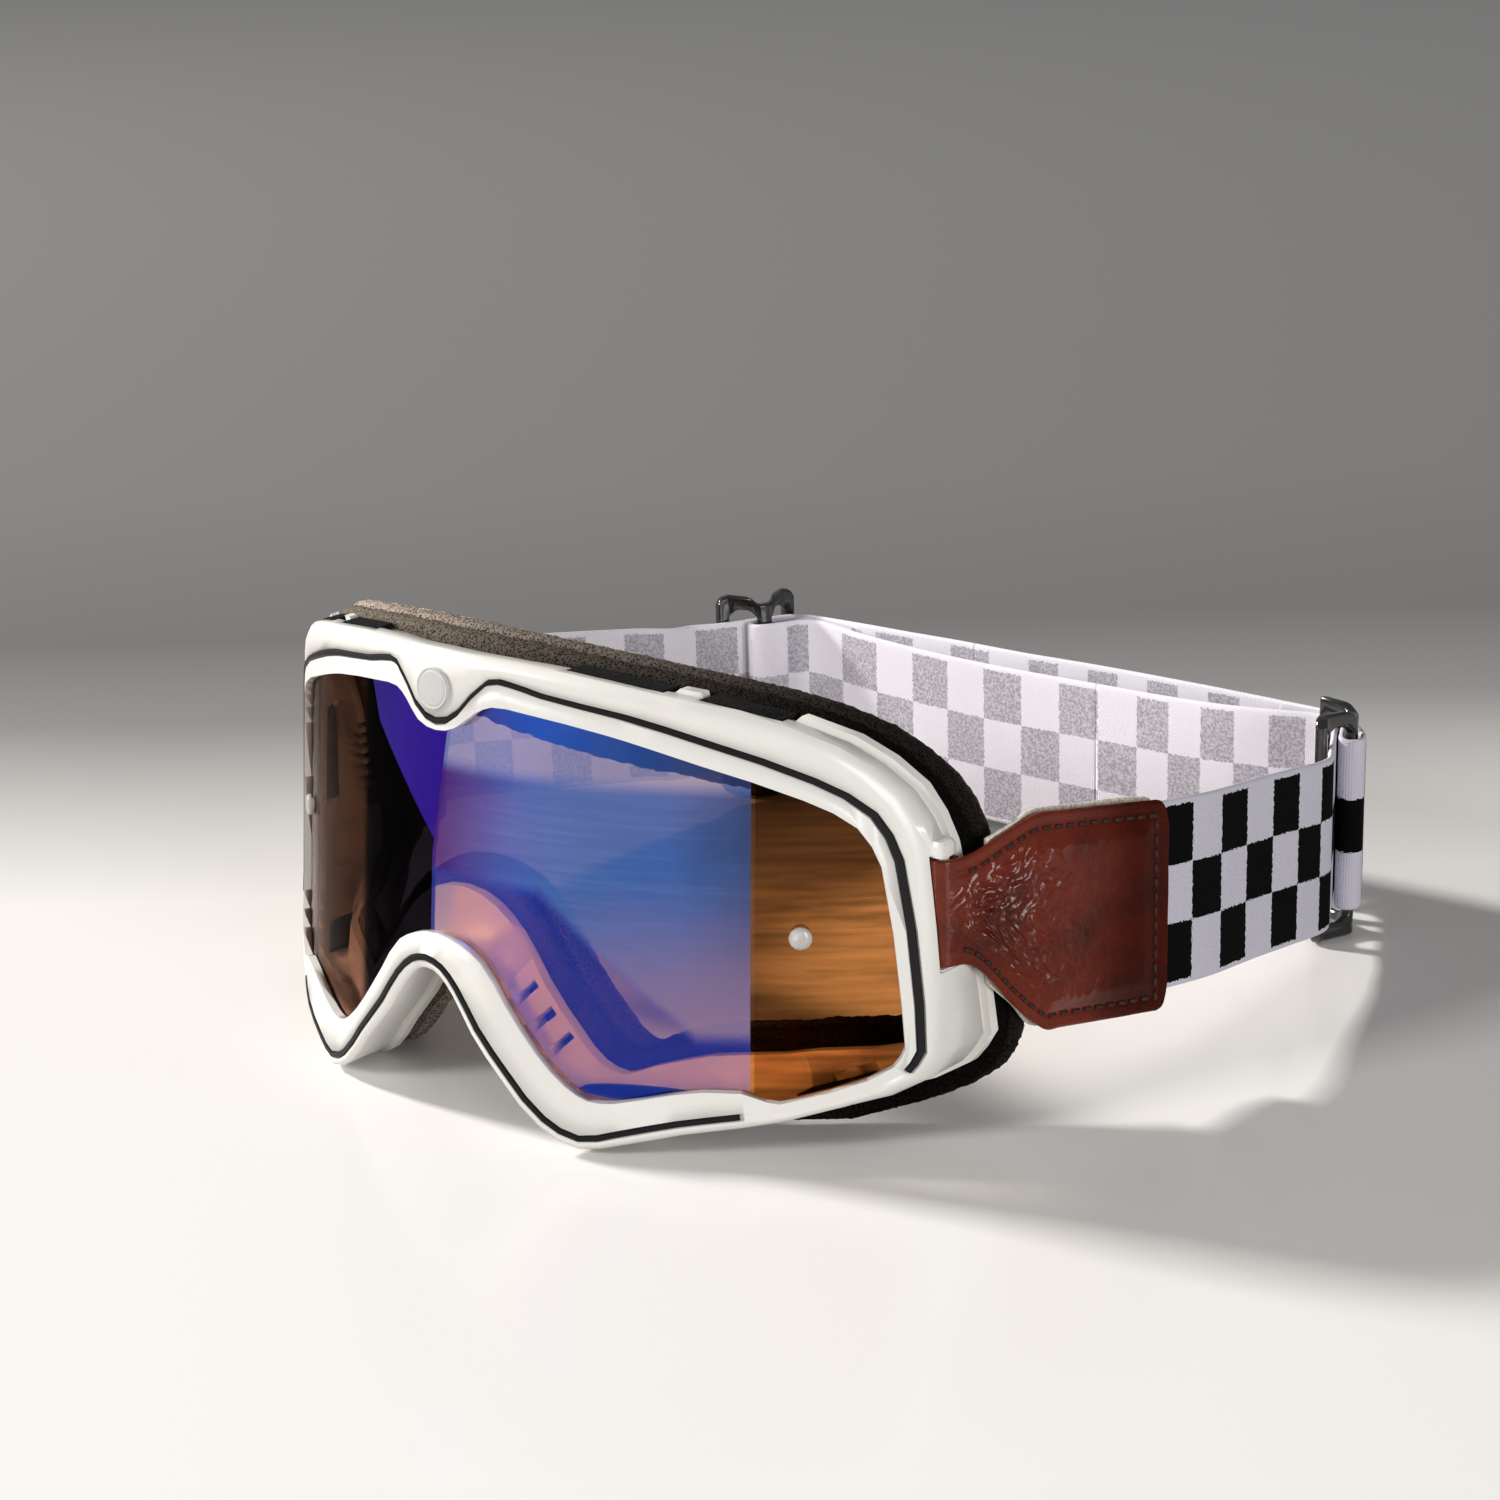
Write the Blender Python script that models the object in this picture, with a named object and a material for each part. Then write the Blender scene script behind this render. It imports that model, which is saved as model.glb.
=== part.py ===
"""Motocross goggles: framed lens, foam, leather strap tabs, woven strap, buckles.

Millimetres are written as plain numbers times MM. X is the wearer's left-right
line, Y runs back from the lens to the strap, Z is up.
"""

import math

import bmesh
import bpy
from mathutils import Matrix, Vector

MM = 0.001

# Front surface: a parabola in plan that leans back
PLAN_CURVE = 5.753e-3
LEAN = 0.104
CENTRE_SHIFT = -105.85

# Bezel, lens channel and skirt
BEZEL_THICKNESS = 1.6
CHANNEL_DEPTH = 3.2
CHANNEL_WALL = 1.2
LENS_THICKNESS = 1.0
LENS_CLEARANCE = 0.2
LENS_EDGE_CLEARANCE = 0.9
BACK_LIP = 1.4
BACK_LIP_INSET = 0.9
SHOULDER_RADIUS = 1.8
SKIRT_WALL = 2.0
FLANGE_THICKNESS = 2.1
REAR_GROOVE_DEPTH = 1.0
REAR_GROOVE_WIDTH = 1.5

# Pinstripes
STRIPE_WIDTH = 1.1
STRIPE_THICKNESS = 0.6
STRIPE_PROUD = 0.15
STRIPE_CLEARANCE = 0.2
UPPER_STRIPE_END = 12.9
LOWER_STRIPE_START = 15.85

# Top vents, as stations along the ring
VENT_SPANS = ((3.7, 5.2), (5.5, 6.45))
VENT_FRONT = 3.4
BOTTOM_VENT_FRONT = 7.0
VENT_FOAM_PROUD = 0.15
BOTTOM_VENT_START = 14.1
BOTTOM_VENT_LENGTH = 1.2
BOTTOM_VENT_SPAN = (BOTTOM_VENT_START, BOTTOM_VENT_START + BOTTOM_VENT_LENGTH)

# Badge and tear-off posts
BADGE_RADIUS = 4.1
BADGE_THICKNESS = 1.1
BADGE_ABOVE_LENS = 8.3
POST_X = 69.5
POST_Z = 43.7
POST_SHAFT_RADIUS = 1.4
POST_HEAD_RADIUS = 2.3
POST_HEAD_THICKNESS = 1.3

# Face foam layers
FOAM_SEAT_GAP = 0.5
FOAM_GAP = 0.3
FOAM_BASE_THICKNESS = 3.6
FOAM_MIDDLE_THICKNESS = 4.2
FOAM_FLEECE_THICKNESS = 2.8
FOAM_OVERHANG = 3.5
FOAM_BULGE = 0.9
FOAM_LOWEST = 1.0
# How far the foam stands out from the skirt: station, distance
FOAM_FLARE = ((0.0, 1.2), (4.0, 1.2), (6.0, 0.8), (8.0, 0.0), (11.7, 0.0), (13.0, 3.6), (14.0, 5.4),
              (15.0, 5.2), (16.0, 3.6), (18.0, 0.0))

# Tab bars moulded into the side walls
BAR_X = 87.2
BAR_Y = 53.6
BAR_RADIUS = 1.3
BOSS_HEIGHT = 3.1
BOSS_STEP = 0.35
TAB_FRONT_LOW = 36.7
TAB_FRONT_HIGH = 58.1
TAB_WINDOW_CLEARANCE = 0.8
PLY_GAP = 0.3
LEATHER_THICKNESS = 1.5
LINING_THICKNESS = 1.0
LINING_EDGE = 0.1

# Strap and buckles
STRAP_THICKNESS = 1.4
STRAP_WIDTH = 40.0
STRAP_LOW = 6.5
BUCKLE_X = 88.6
BUCKLE_Y = 195.8
BUCKLE_HEADING = math.radians(28.0)
# The left buckle sits further along its strap than the right one
LEFT_BUCKLE_X = 81.1
LEFT_BUCKLE_Y = 197.6
BUCKLE_HALF_LENGTH = 10.5
BUCKLE_HEIGHT = 53.0
BUCKLE_THICKNESS = 2.6
BUCKLE_OUTER_BAR = 3.2
BUCKLE_CENTRE_HALF = 1.8
BUCKLE_RAIL = 3.6
BUCKLE_BEVEL = 0.5

# Half ring, top centre to bottom centre:
# opening x, z, edge x, z, skirt depth, stripe distance, proud rim, lip, flange
ROWS = (
    (0.0, 79.4, 0.0, 95.0, 8.0, 1.7, 1.3, -1.6, 8.5),
    (5.0, 80.6, 8.0, 94.8, 8.0, 3.2, 1.3, -1.6, 8.5),
    (9.3, 83.9, 14.0, 94.5, 8.0, 7.0, 0.8, -1.6, 8.5),
    (13.0, 85.5, 20.0, 94.0, 8.0, 6.2, 0.3, -1.6, 8.5),
    (20.0, 85.1, 28.0, 93.1, 8.0, 5.2, 0.0, -1.6, 8.5),
    (36.7, 82.4, 42.0, 90.7, 8.2, 4.4, 0.0, 0.3, 8.5),
    (53.2, 77.3, 57.0, 87.3, 8.6, 4.2, 0.0, 0.5, 8.5),
    (69.1, 70.8, 73.0, 80.5, 8.8, 3.8, 0.0, 0.9, 8.5),
    (77.0, 65.2, 82.5, 71.0, 8.8, 3.2, 0.0, 0.9, 8.5),
    (80.6, 57.5, 86.8, 60.0, 9.5, 2.6, 0.0, 0.3, 8.5),
    (82.7, 44.5, 88.6, 45.0, 11.5, 2.5, 0.0, 0.3, 8.5),
    (84.4, 30.0, 89.6, 30.0, 15.5, 2.4, 0.0, 0.7, 8.0),
    (85.2, 21.5, 89.9, 20.0, 17.5, 2.3, 0.0, 0.9, 6.5),
    (83.5, 17.8, 87.2, 14.4, 17.0, 2.2, 0.0, 0.9, 6.5),
    (76.0, 13.9, 78.3, 10.9, 16.0, 1.9, 0.0, 0.9, 7.5),
    (67.5, 11.3, 68.8, 7.9, 15.0, 1.9, 0.0, 0.9, 10.0),
    (60.5, 13.6, 61.3, 6.3, 15.0, 4.9, 0.4, 0.9, 11.0),
    (50.0, 12.7, 52.0, 5.1, 15.0, 5.4, 1.5, 0.9, 12.0),
    (40.0, 10.2, 41.5, 2.4, 15.0, 5.5, 2.0, 0.9, 12.0),
    (35.0, 10.2, 34.0, 0.9, 15.0, 6.9, 2.2, 0.9, 12.0),
    (30.5, 12.6, 26.5, 4.4, 14.5, 6.7, 2.6, 0.9, 12.5),
    (24.4, 18.3, 18.6, 12.6, 14.2, 5.8, 3.0, 0.7, 13.0),
    (17.4, 26.9, 11.3, 20.8, 14.0, 6.2, 3.0, 0.6, 13.5),
    (11.3, 34.5, 6.6, 27.6, 13.8, 5.9, 3.0, 0.6, 14.0),
    (6.0, 37.2, 3.2, 30.9, 13.6, 4.5, 3.0, 0.6, 14.0),
    (0.0, 38.2, 0.0, 31.8, 13.6, 4.0, 3.0, 0.6, 14.0),
)
LAST = len(ROWS) - 1

BONE = (0.80, 0.78, 0.72, 1.0)
BLACK_PLASTIC = (0.012, 0.012, 0.013, 1.0)
STRIPE_BLACK = (0.02, 0.02, 0.02, 1.0)
LENS_BLUE = (0.10, 0.16, 0.55, 1.0)
BADGE_GREY = (0.72, 0.72, 0.72, 1.0)
POST_CLEAR = (0.85, 0.85, 0.85, 1.0)
MESH_BLACK = (0.015, 0.015, 0.015, 1.0)
FOAM_BLACK = (0.02, 0.018, 0.016, 1.0)
FOAM_GREY = (0.11, 0.09, 0.075, 1.0)
FLEECE_BROWN = (0.16, 0.13, 0.11, 1.0)
LEATHER_BROWN = (0.14, 0.022, 0.010, 1.0)
LINING_CREAM = (0.70, 0.64, 0.55, 1.0)
STRAP_WHITE = (0.78, 0.77, 0.84, 1.0)


# Scene and mesh helpers

def clear_scene():
    for item in list(bpy.data.objects):
        bpy.data.objects.remove(item, do_unlink=True)


def material(name, colour, roughness, metallic=0.0, transmission=0.0):
    made = bpy.data.materials.new(name)
    made.use_nodes = True
    shader = made.node_tree.nodes["Principled BSDF"]
    shader.inputs["Base Color"].default_value = colour
    shader.inputs["Roughness"].default_value = roughness
    shader.inputs["Metallic"].default_value = metallic
    shader.inputs["Transmission Weight"].default_value = transmission
    return made


def add_object(name, points, faces, used=None, split=False):
    """Make one object; split cuts bent quads the same way on facing pieces."""
    mesh = bpy.data.meshes.new(name)
    shifted = [(x * MM, (y + CENTRE_SHIFT) * MM, z * MM) for x, y, z in points]
    mesh.from_pydata(shifted, [], faces)
    mesh.update()
    work = bmesh.new()
    work.from_mesh(mesh)
    bmesh.ops.recalc_face_normals(work, faces=work.faces)
    if split:
        bmesh.ops.triangulate(work, faces=work.faces, quad_method='SHORT_EDGE')
    if work.calc_volume(signed=True) < 0.0:
        bmesh.ops.reverse_faces(work, faces=work.faces)
    work.to_mesh(mesh)
    work.free()
    made = bpy.data.objects.new(name, mesh)
    bpy.context.scene.collection.objects.link(made)
    if used is not None:
        mesh.materials.append(used)
    return made


def place_origin(item, x, y, z):
    """Move the object's origin to a point of the model; the shape stays put."""
    origin = Vector((x, y + CENTRE_SHIFT, z)) * MM
    item.data.transform(Matrix.Translation(item.location - origin))
    item.location = origin


def hang_on_axis(name, x, y, z, items):
    """Parent the pieces that turn together to an empty on their axis."""
    pivot = bpy.data.objects.new(name, None)
    pivot.empty_display_size = 20.0 * MM
    bpy.context.scene.collection.objects.link(pivot)
    pivot.location = Vector((x, y + CENTRE_SHIFT, z)) * MM
    for item in items:
        place_origin(item, x, y, z)
        item.location = (0.0, 0.0, 0.0)
        item.parent = pivot


def smooth(item, angle=35.0):
    item.data.shade_smooth()
    item.data.set_sharp_from_angle(angle=math.radians(angle))


def loft(sections, closed):
    count = len(sections[0])
    points = [point for section in sections for point in section]
    faces = []
    spans = len(sections) if closed else len(sections) - 1
    for row in range(spans):
        here = row * count
        there = ((row + 1) % len(sections)) * count
        for step in range(count):
            after = (step + 1) % count
            faces.append((here + step, here + after, there + after, there + step))
    if not closed:
        end = (len(sections) - 1) * count
        faces.append(tuple(range(count)))
        faces.append(tuple(end + step for step in range(count)))
    return points, faces


def boolean(item, cutter, operation):
    modifier = item.modifiers.new(cutter.name, 'BOOLEAN')
    modifier.object = cutter
    modifier.operation = operation
    modifier.solver = 'EXACT'
    cutter.hide_render = True
    cutter.display_type = 'WIRE'


def cylinder_mesh(centre, axis, radius, length, sides=28):
    axis = Vector(axis).normalized()
    across = axis.orthogonal().normalized()
    side = axis.cross(across)
    sections = []
    for end in (-0.5, 0.5):
        middle = Vector(centre) + axis * length * end
        ring = []
        for step in range(sides):
            angle = 2.0 * math.pi * step / sides
            ring.append(tuple(middle + (across * math.cos(angle) + side * math.sin(angle)) * radius))
        sections.append(ring)
    return loft(sections, False)


def joined(parts):
    points = []
    faces = []
    for part_points, part_faces in parts:
        base = len(points)
        points.extend(part_points)
        faces.extend(tuple(base + index for index in face) for face in part_faces)
    return points, faces


def mirrored(part):
    points, faces = part
    return [(-x, y, z) for x, y, z in points], [tuple(reversed(face)) for face in faces]


def box_mesh(low, high):
    sections = []
    for z in (low[2], high[2]):
        sections.append([(low[0], low[1], z), (high[0], low[1], z),
                         (high[0], high[1], z), (low[0], high[1], z)])
    return loft(sections, False)


# The front surface and the ring of stations

def face_point(x, z, inward=0.0):
    slope = 2.0 * PLAN_CURVE * x
    size = math.hypot(slope, 1.0)
    y = PLAN_CURVE * x * x + LEAN * z
    return Vector((x - slope / size * inward, y + inward / size, z))


def hermite(before, start, end, after, part):
    gaps = [max(math.dist(a[:4], b[:4]), 1e-6) for a, b in
            ((before, start), (start, end), (end, after))]
    values = []
    for index in range(len(start)):
        rise_start = ((end[index] - start[index]) / gaps[1] * gaps[0]
                      + (start[index] - before[index]) / gaps[0] * gaps[1]) / (gaps[0] + gaps[1])
        rise_end = ((after[index] - end[index]) / gaps[2] * gaps[1]
                    + (end[index] - start[index]) / gaps[1] * gaps[2]) / (gaps[1] + gaps[2])
        span = gaps[1]
        value = ((2 * part ** 3 - 3 * part ** 2 + 1) * start[index]
                 + (part ** 3 - 2 * part ** 2 + part) * rise_start * span
                 + (-2 * part ** 3 + 3 * part ** 2) * end[index]
                 + (part ** 3 - part ** 2) * rise_end * span)
        values.append(value)
    return values


def row_at(index):
    if index < 0:
        row = ROWS[-index]
        return (-row[0], row[1], -row[2], row[3]) + tuple(row[4:])
    if index > LAST:
        row = ROWS[2 * LAST - index]
        return (-row[0], row[1], -row[2], row[3]) + tuple(row[4:])
    return ROWS[index]


class Station:
    """One slice through the rim at ring position u, 0 top to LAST bottom."""

    def __init__(self, u, side=1.0):
        index = min(int(u), LAST - 1)
        part = u - index
        values = hermite(row_at(index - 1), row_at(index), row_at(index + 1),
                         row_at(index + 2), part)
        self.u = u
        self.side = side
        self.inner = (values[0], values[1])
        self.edge = (values[2], values[3])
        self.depth = values[4]
        self.stripe = values[5]
        self.proud = max(values[6], 0.0)
        self.lip = values[7]
        self.flange = values[8]
        across = (self.edge[0] - self.inner[0], self.edge[1] - self.inner[1])
        self.width = math.hypot(*across)
        self.out = (across[0] / self.width, across[1] / self.width)

    def on_face(self, distance, inward, back=0.0):
        x = self.inner[0] + self.out[0] * distance
        z = self.inner[1] + self.out[1] * distance
        point = face_point(x, z, inward)
        return (self.side * point.x, point.y + back, max(point.z, 0.0))

    def on_skirt(self, outward, back):
        point = face_point(self.edge[0], self.edge[1], -self.proud)
        x = point.x + self.out[0] * outward
        z = point.z + self.out[1] * outward
        return (self.side * x, point.y + back, max(z, 0.0))


def in_spans(u, spans):
    return any(start <= u <= end for start, end in spans)


def striped(u):
    return u <= UPPER_STRIPE_END or u >= LOWER_STRIPE_START


def base_positions():
    """Closer together where the rim bends, from top centre to bottom centre."""
    spans = ((0.0, 9.0, 0.5), (9.0, 12.0, 1.0), (12.0, 14.0, 0.5), (14.0, 16.0, 1.0),
             (16.0, 25.0, 0.5))
    positions = [0.0]
    for start, end, step in spans:
        count = round((end - start) / step)
        positions += [start + step * (index + 1) for index in range(count)]
    return positions


def ring_positions():
    ends = [UPPER_STRIPE_END, LOWER_STRIPE_START]
    for start, end in VENT_SPANS + (BOTTOM_VENT_SPAN,):
        ends.extend((start, end))
    kept = [u for u in base_positions() if all(abs(u - end) > 0.18 for end in ends)]
    for end in ends:
        kept.extend((end - 0.03, end + 0.03))
    return sorted(kept)


def full_ring(positions):
    right = [Station(u) for u in positions]
    left = [Station(u, -1.0) for u in reversed(positions) if 0.0 < u < LAST]
    return right + left


def channel_depth(station):
    return min(CHANNEL_DEPTH, station.width - CHANNEL_WALL)


def lens_front():
    return BEZEL_THICKNESS + LENS_CLEARANCE


def channel_back():
    return BEZEL_THICKNESS + LENS_THICKNESS + 2.0 * LENS_CLEARANCE


def ramp(u):
    return min(max((u - 15.0) / 5.0, 0.0), 1.0)


def rim_section(station):
    width = station.width
    vent = in_spans(station.u, VENT_SPANS + (BOTTOM_VENT_SPAN,))
    groove = STRIPE_THICKNESS + STRIPE_CLEARANCE - STRIPE_PROUD if striped(station.u) else 0.02
    half = STRIPE_WIDTH / 2.0 + STRIPE_CLEARANCE if striped(station.u) else 0.6
    stripe = station.stripe
    proud = station.proud
    top_proud = proud if station.u < 4.0 else 0.0
    shoulder = min(SHOULDER_RADIUS, 0.8 * (width - stripe - half))
    depth = station.depth
    lip = -REAR_GROOVE_DEPTH - 0.4 if vent else station.lip
    notch = REAR_GROOVE_DEPTH
    channel = channel_depth(station)
    sink = ramp(station.u)
    lip_back = channel_back() + BACK_LIP
    wall = min(width - SKIRT_WALL, channel)
    points = [
        station.on_face(0.0, BEZEL_THICKNESS),
        station.on_face(0.0, -top_proud),
        station.on_face(stripe - half - 0.05, -proud),
        station.on_face(stripe - half + 0.05, groove - proud),
        station.on_face(stripe + half - 0.05, groove - proud),
        station.on_face(stripe + half + 0.05, -proud),
    ]
    for step in range(3):
        turn = math.radians(45.0 * step)
        fall = shoulder * (1.0 - math.cos(turn))
        share = step / 2.0
        distance = width - shoulder + shoulder * math.sin(turn)
        points.append(station.on_face(distance, fall * (1.0 - share) - proud, fall * share))
    points += [
        station.on_skirt(0.0, depth - FLANGE_THICKNESS - REAR_GROOVE_WIDTH),
        station.on_skirt(-notch, depth - FLANGE_THICKNESS - REAR_GROOVE_WIDTH + 0.3),
        station.on_skirt(-notch, depth - FLANGE_THICKNESS - 0.2),
        station.on_skirt(lip, depth - FLANGE_THICKNESS),
        station.on_skirt(lip, depth),
        station.on_skirt(-station.flange / 2.0, depth),
        station.on_skirt(-station.flange, depth),
        station.on_skirt(-station.flange, depth - FLANGE_THICKNESS),
        station.on_skirt(-SKIRT_WALL - 2.0 * sink, depth - FLANGE_THICKNESS - 0.2 - 2.2 * sink),
        station.on_face(wall, lip_back),
        station.on_face(BACK_LIP_INSET, lip_back),
        station.on_face(BACK_LIP_INSET, channel_back()),
        station.on_face(channel, channel_back()),
        station.on_face(channel, BEZEL_THICKNESS),
    ]
    return points


def swept_block(positions, low, high, front, back):
    """A solid that follows the rim; each bound is a number or a function of u."""
    sections = []
    for u in positions:
        station = Station(u)
        bounds = [value(u) if callable(value) else value for value in (low, high, front, back)]
        inside, outside, ahead, behind = bounds
        sections.append([station.on_skirt(inside, ahead), station.on_skirt(outside, ahead),
                         station.on_skirt(outside, behind), station.on_skirt(inside, behind)])
    return loft(sections, False)


def depth_at(u):
    return Station(u).depth


def spaced(start, end, count):
    return [start + (end - start) * step / (count - 1) for step in range(count)]


def vent_front(u):
    return BOTTOM_VENT_FRONT if u > BOTTOM_VENT_START - 0.1 else VENT_FRONT


def rim_cutter():
    parts = []
    for start, end in VENT_SPANS + (BOTTOM_VENT_SPAN,):
        parts.append(swept_block(spaced(start + 0.04, end - 0.04, 6), -5.2, 3.0, vent_front(start),
                                 lambda u: depth_at(u) - FLANGE_THICKNESS + 0.2))
    low = (80.0, 50.3, TAB_FRONT_LOW - TAB_WINDOW_CLEARANCE)
    high = (97.0, 56.9, TAB_FRONT_HIGH + TAB_WINDOW_CLEARANCE)
    parts.append(box_mesh(low, high))
    # Rib notches along the side flange, seen through the lens
    for rib in range(8):
        middle = 9.3 + 0.2 * rib
        parts.append(swept_block((middle - 0.055, middle + 0.055), -9.6, -4.4,
                                 lambda u: depth_at(u) - FLANGE_THICKNESS - 0.28,
                                 lambda u: depth_at(u) + 0.5))
    # Slots in the nose ramp
    for slot in range(3):
        middle = 21.0 + 0.55 * slot
        parts.append(swept_block((middle - 0.09, middle + 0.09), -12.0, -6.0,
                                 lambda u: depth_at(u) - 6.4, lambda u: depth_at(u) + 0.5))
    # Oval recess low in each side wall
    centre = 11.75
    reach = 0.62
    positions = [centre + reach * math.sin(math.radians(angle)) for angle in
                 (-78, -55, -32, -10, 10, 32, 55, 78)]

    def swell(u):
        return 3.6 * math.sqrt(max(1.0 - ((u - centre) / reach) ** 2, 0.02))

    parts.append(swept_block(positions, -6.5, -1.2,
                             lambda u: 8.2 - swell(u), lambda u: 8.2 + swell(u)))
    return parts + [mirrored(part) for part in parts]


def rounded_block(low, high, z, sides):
    """A soft-cornered outline between two plan corners."""
    centre = ((low[0] + high[0]) / 2.0, (low[1] + high[1]) / 2.0)
    reach = ((high[0] - low[0]) / 2.0, (high[1] - low[1]) / 2.0)
    ring = []
    for step in range(sides):
        angle = 2.0 * math.pi * (step + 0.5) / sides
        flat = max(abs(math.cos(angle)), abs(math.sin(angle)))
        grow = 0.35 + 0.65 / flat
        ring.append((centre[0] + reach[0] * math.cos(angle) * grow,
                     centre[1] + reach[1] * math.sin(angle) * grow, z))
    return ring


def tab_bar():
    """The upright bar of one side wall with the boss that holds each end."""
    sides = 20
    low = TAB_FRONT_LOW - TAB_WINDOW_CLEARANCE + BOSS_STEP
    high = TAB_FRONT_HIGH + TAB_WINDOW_CLEARANCE - BOSS_STEP
    sections = [rounded_block((85.6, 51.3), (88.7, 55.7), low - BOSS_HEIGHT, sides),
                rounded_block((85.4, 51.0), (88.9, 56.0), low - BOSS_HEIGHT + 0.8, sides),
                rounded_block((85.4, 51.0), (88.9, 56.0), low, sides)]
    for z in (low, high):
        ring = []
        for step in range(sides):
            angle = 2.0 * math.pi * (step + 0.5) / sides
            ring.append((BAR_X + BAR_RADIUS * math.cos(angle), BAR_Y + BAR_RADIUS * math.sin(angle), z))
        sections.append(ring)
    sections += [rounded_block((85.0, 51.0), (88.9, 56.0), high, sides),
                 rounded_block((85.0, 51.0), (88.9, 56.0), high + BOSS_HEIGHT - 0.9, sides),
                 rounded_block((85.4, 51.5), (88.4, 55.5), high + BOSS_HEIGHT, sides)]
    return loft(sections, False)


def build_frame(bone):
    sections = [rim_section(station) for station in full_ring(ring_positions())]
    points, faces = loft(sections, True)
    frame = add_object("frame_shell", points, faces, bone, True)
    cutter = add_object("frame_cutter", *joined(rim_cutter()))
    boolean(frame, cutter, 'DIFFERENCE')
    posts = add_object("tab_bars", *joined([tab_bar(), mirrored(tab_bar())]))
    boolean(frame, posts, 'UNION')
    smooth(frame, 38.0)
    return frame


def stripe_section(station):
    half = STRIPE_WIDTH / 2.0
    outer = -station.proud - STRIPE_PROUD
    inner = outer + STRIPE_THICKNESS
    stripe = station.stripe
    return [station.on_face(stripe - half, inner), station.on_face(stripe - half + 0.2, outer),
            station.on_face(stripe + half - 0.2, outer), station.on_face(stripe + half, inner)]


def build_stripe(name, start, end, colour):
    inside = [u for u in ring_positions() if start < u < end]
    positions = sorted(set([start] + inside + [end]))
    if start == 0.0:
        stations = [Station(u, -1.0) for u in reversed(positions) if u > 0.0]
        stations += [Station(u) for u in positions]
    else:
        stations = [Station(u) for u in positions]
        stations += [Station(u, -1.0) for u in reversed(positions) if u < LAST]
    points, faces = loft([stripe_section(station) for station in stations], False)
    stripe = add_object(name, points, faces, colour)
    smooth(stripe)
    return stripe


def lens_outline():
    halves = ([], [])
    turn = 12.5
    for u in ring_positions():
        station = Station(u)
        distance = channel_depth(station) - LENS_EDGE_CLEARANCE
        x = station.inner[0] + station.out[0] * distance
        z = station.inner[1] + station.out[1] * distance
        if u <= turn:
            halves[0].append((x, z))
        if u >= turn:
            halves[1].append((x, z))
    return halves


def height_at(line, x):
    ordered = sorted(line)
    for (x0, z0), (x1, z1) in zip(ordered, ordered[1:]):
        if x0 <= x <= x1:
            return z0 + (z1 - z0) * (x - x0) / max(x1 - x0, 1e-9)
    return ordered[-1][1] if x > ordered[-1][0] else ordered[0][1]


def build_lens(glass):
    upper, lower = lens_outline()
    widest = max(x for x, z in upper) - 0.02
    columns = sorted(set(round(x, 3) for x, z in upper + lower if 0.5 < x < widest - 0.35))
    kept = [0.0]
    for x in columns:
        if x - kept[-1] > 0.45:
            kept.append(x)
    kept.append(widest)
    across = [-x for x in reversed(kept[1:])] + kept
    sections = []
    front = lens_front()
    back = front + LENS_THICKNESS
    for x in across:
        top = height_at(upper, abs(x))
        low = height_at(lower, abs(x))
        ring = [face_point(x, low, front), face_point(x, top, front),
                face_point(x, top, back), face_point(x, low, back)]
        sections.append([tuple(point) for point in ring])
    points, faces = loft(sections, False)
    lens = add_object("lens", points, faces, glass)
    holes = []
    for side in (-1.0, 1.0):
        centre = face_point(side * POST_X, POST_Z, front + LENS_THICKNESS / 2.0)
        holes.append(cylinder_mesh(centre, post_axis(side), POST_SHAFT_RADIUS + 0.3, 8.0, 24))
    cutter = add_object("lens_cutter", *joined(holes))
    boolean(lens, cutter, 'DIFFERENCE')
    smooth(lens, 30.0)
    return lens


def post_axis(side):
    slope = 2.0 * PLAN_CURVE * POST_X
    return Vector((-side * slope, 1.0, 0.0)).normalized()


def turned(centre, axis, profile, sides):
    axis = Vector(axis).normalized()
    across = axis.orthogonal().normalized()
    side = axis.cross(across)
    sections = []
    for along, radius in profile:
        ring = []
        for step in range(sides):
            angle = 2.0 * math.pi * step / sides
            spoke = across * math.cos(angle) + side * math.sin(angle)
            ring.append(tuple(Vector(centre) + axis * along + spoke * radius))
        sections.append(ring)
    return loft(sections, False)


def build_post(name, side, clear):
    centre = face_point(side * POST_X, POST_Z, lens_front())
    head = POST_HEAD_RADIUS
    shaft = POST_SHAFT_RADIUS
    tall = POST_HEAD_THICKNESS
    back = LENS_THICKNESS + PLY_GAP
    profile = [(-PLY_GAP - tall, head * 0.55), (-PLY_GAP - tall + 0.15, head * 0.8),
               (-PLY_GAP - tall * 0.55, head), (-PLY_GAP, head), (-PLY_GAP, shaft),
               (back, shaft), (back, head * 0.85), (back + 0.9, head * 0.85),
               (back + 1.2, head * 0.6)]
    points, faces = turned(centre, post_axis(side), profile, 14)
    post = add_object(name, points, faces, clear)
    smooth(post, 40.0)
    return post


def build_badge(grey):
    seat = face_point(0.0, ROWS[0][1] + BADGE_ABOVE_LENS, -ROWS[0][6])
    axis = Vector((0.0, -1.0, LEAN)).normalized()
    radius = BADGE_RADIUS
    profile = [(PLY_GAP, radius - 0.2), (PLY_GAP + 0.2, radius),
               (PLY_GAP + BADGE_THICKNESS - 0.25, radius), (PLY_GAP + BADGE_THICKNESS, radius - 0.35)]
    points, faces = turned(seat, axis, profile, 28)
    badge = add_object("badge_disc", points, faces, grey)
    smooth(badge, 30.0)
    return badge


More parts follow.
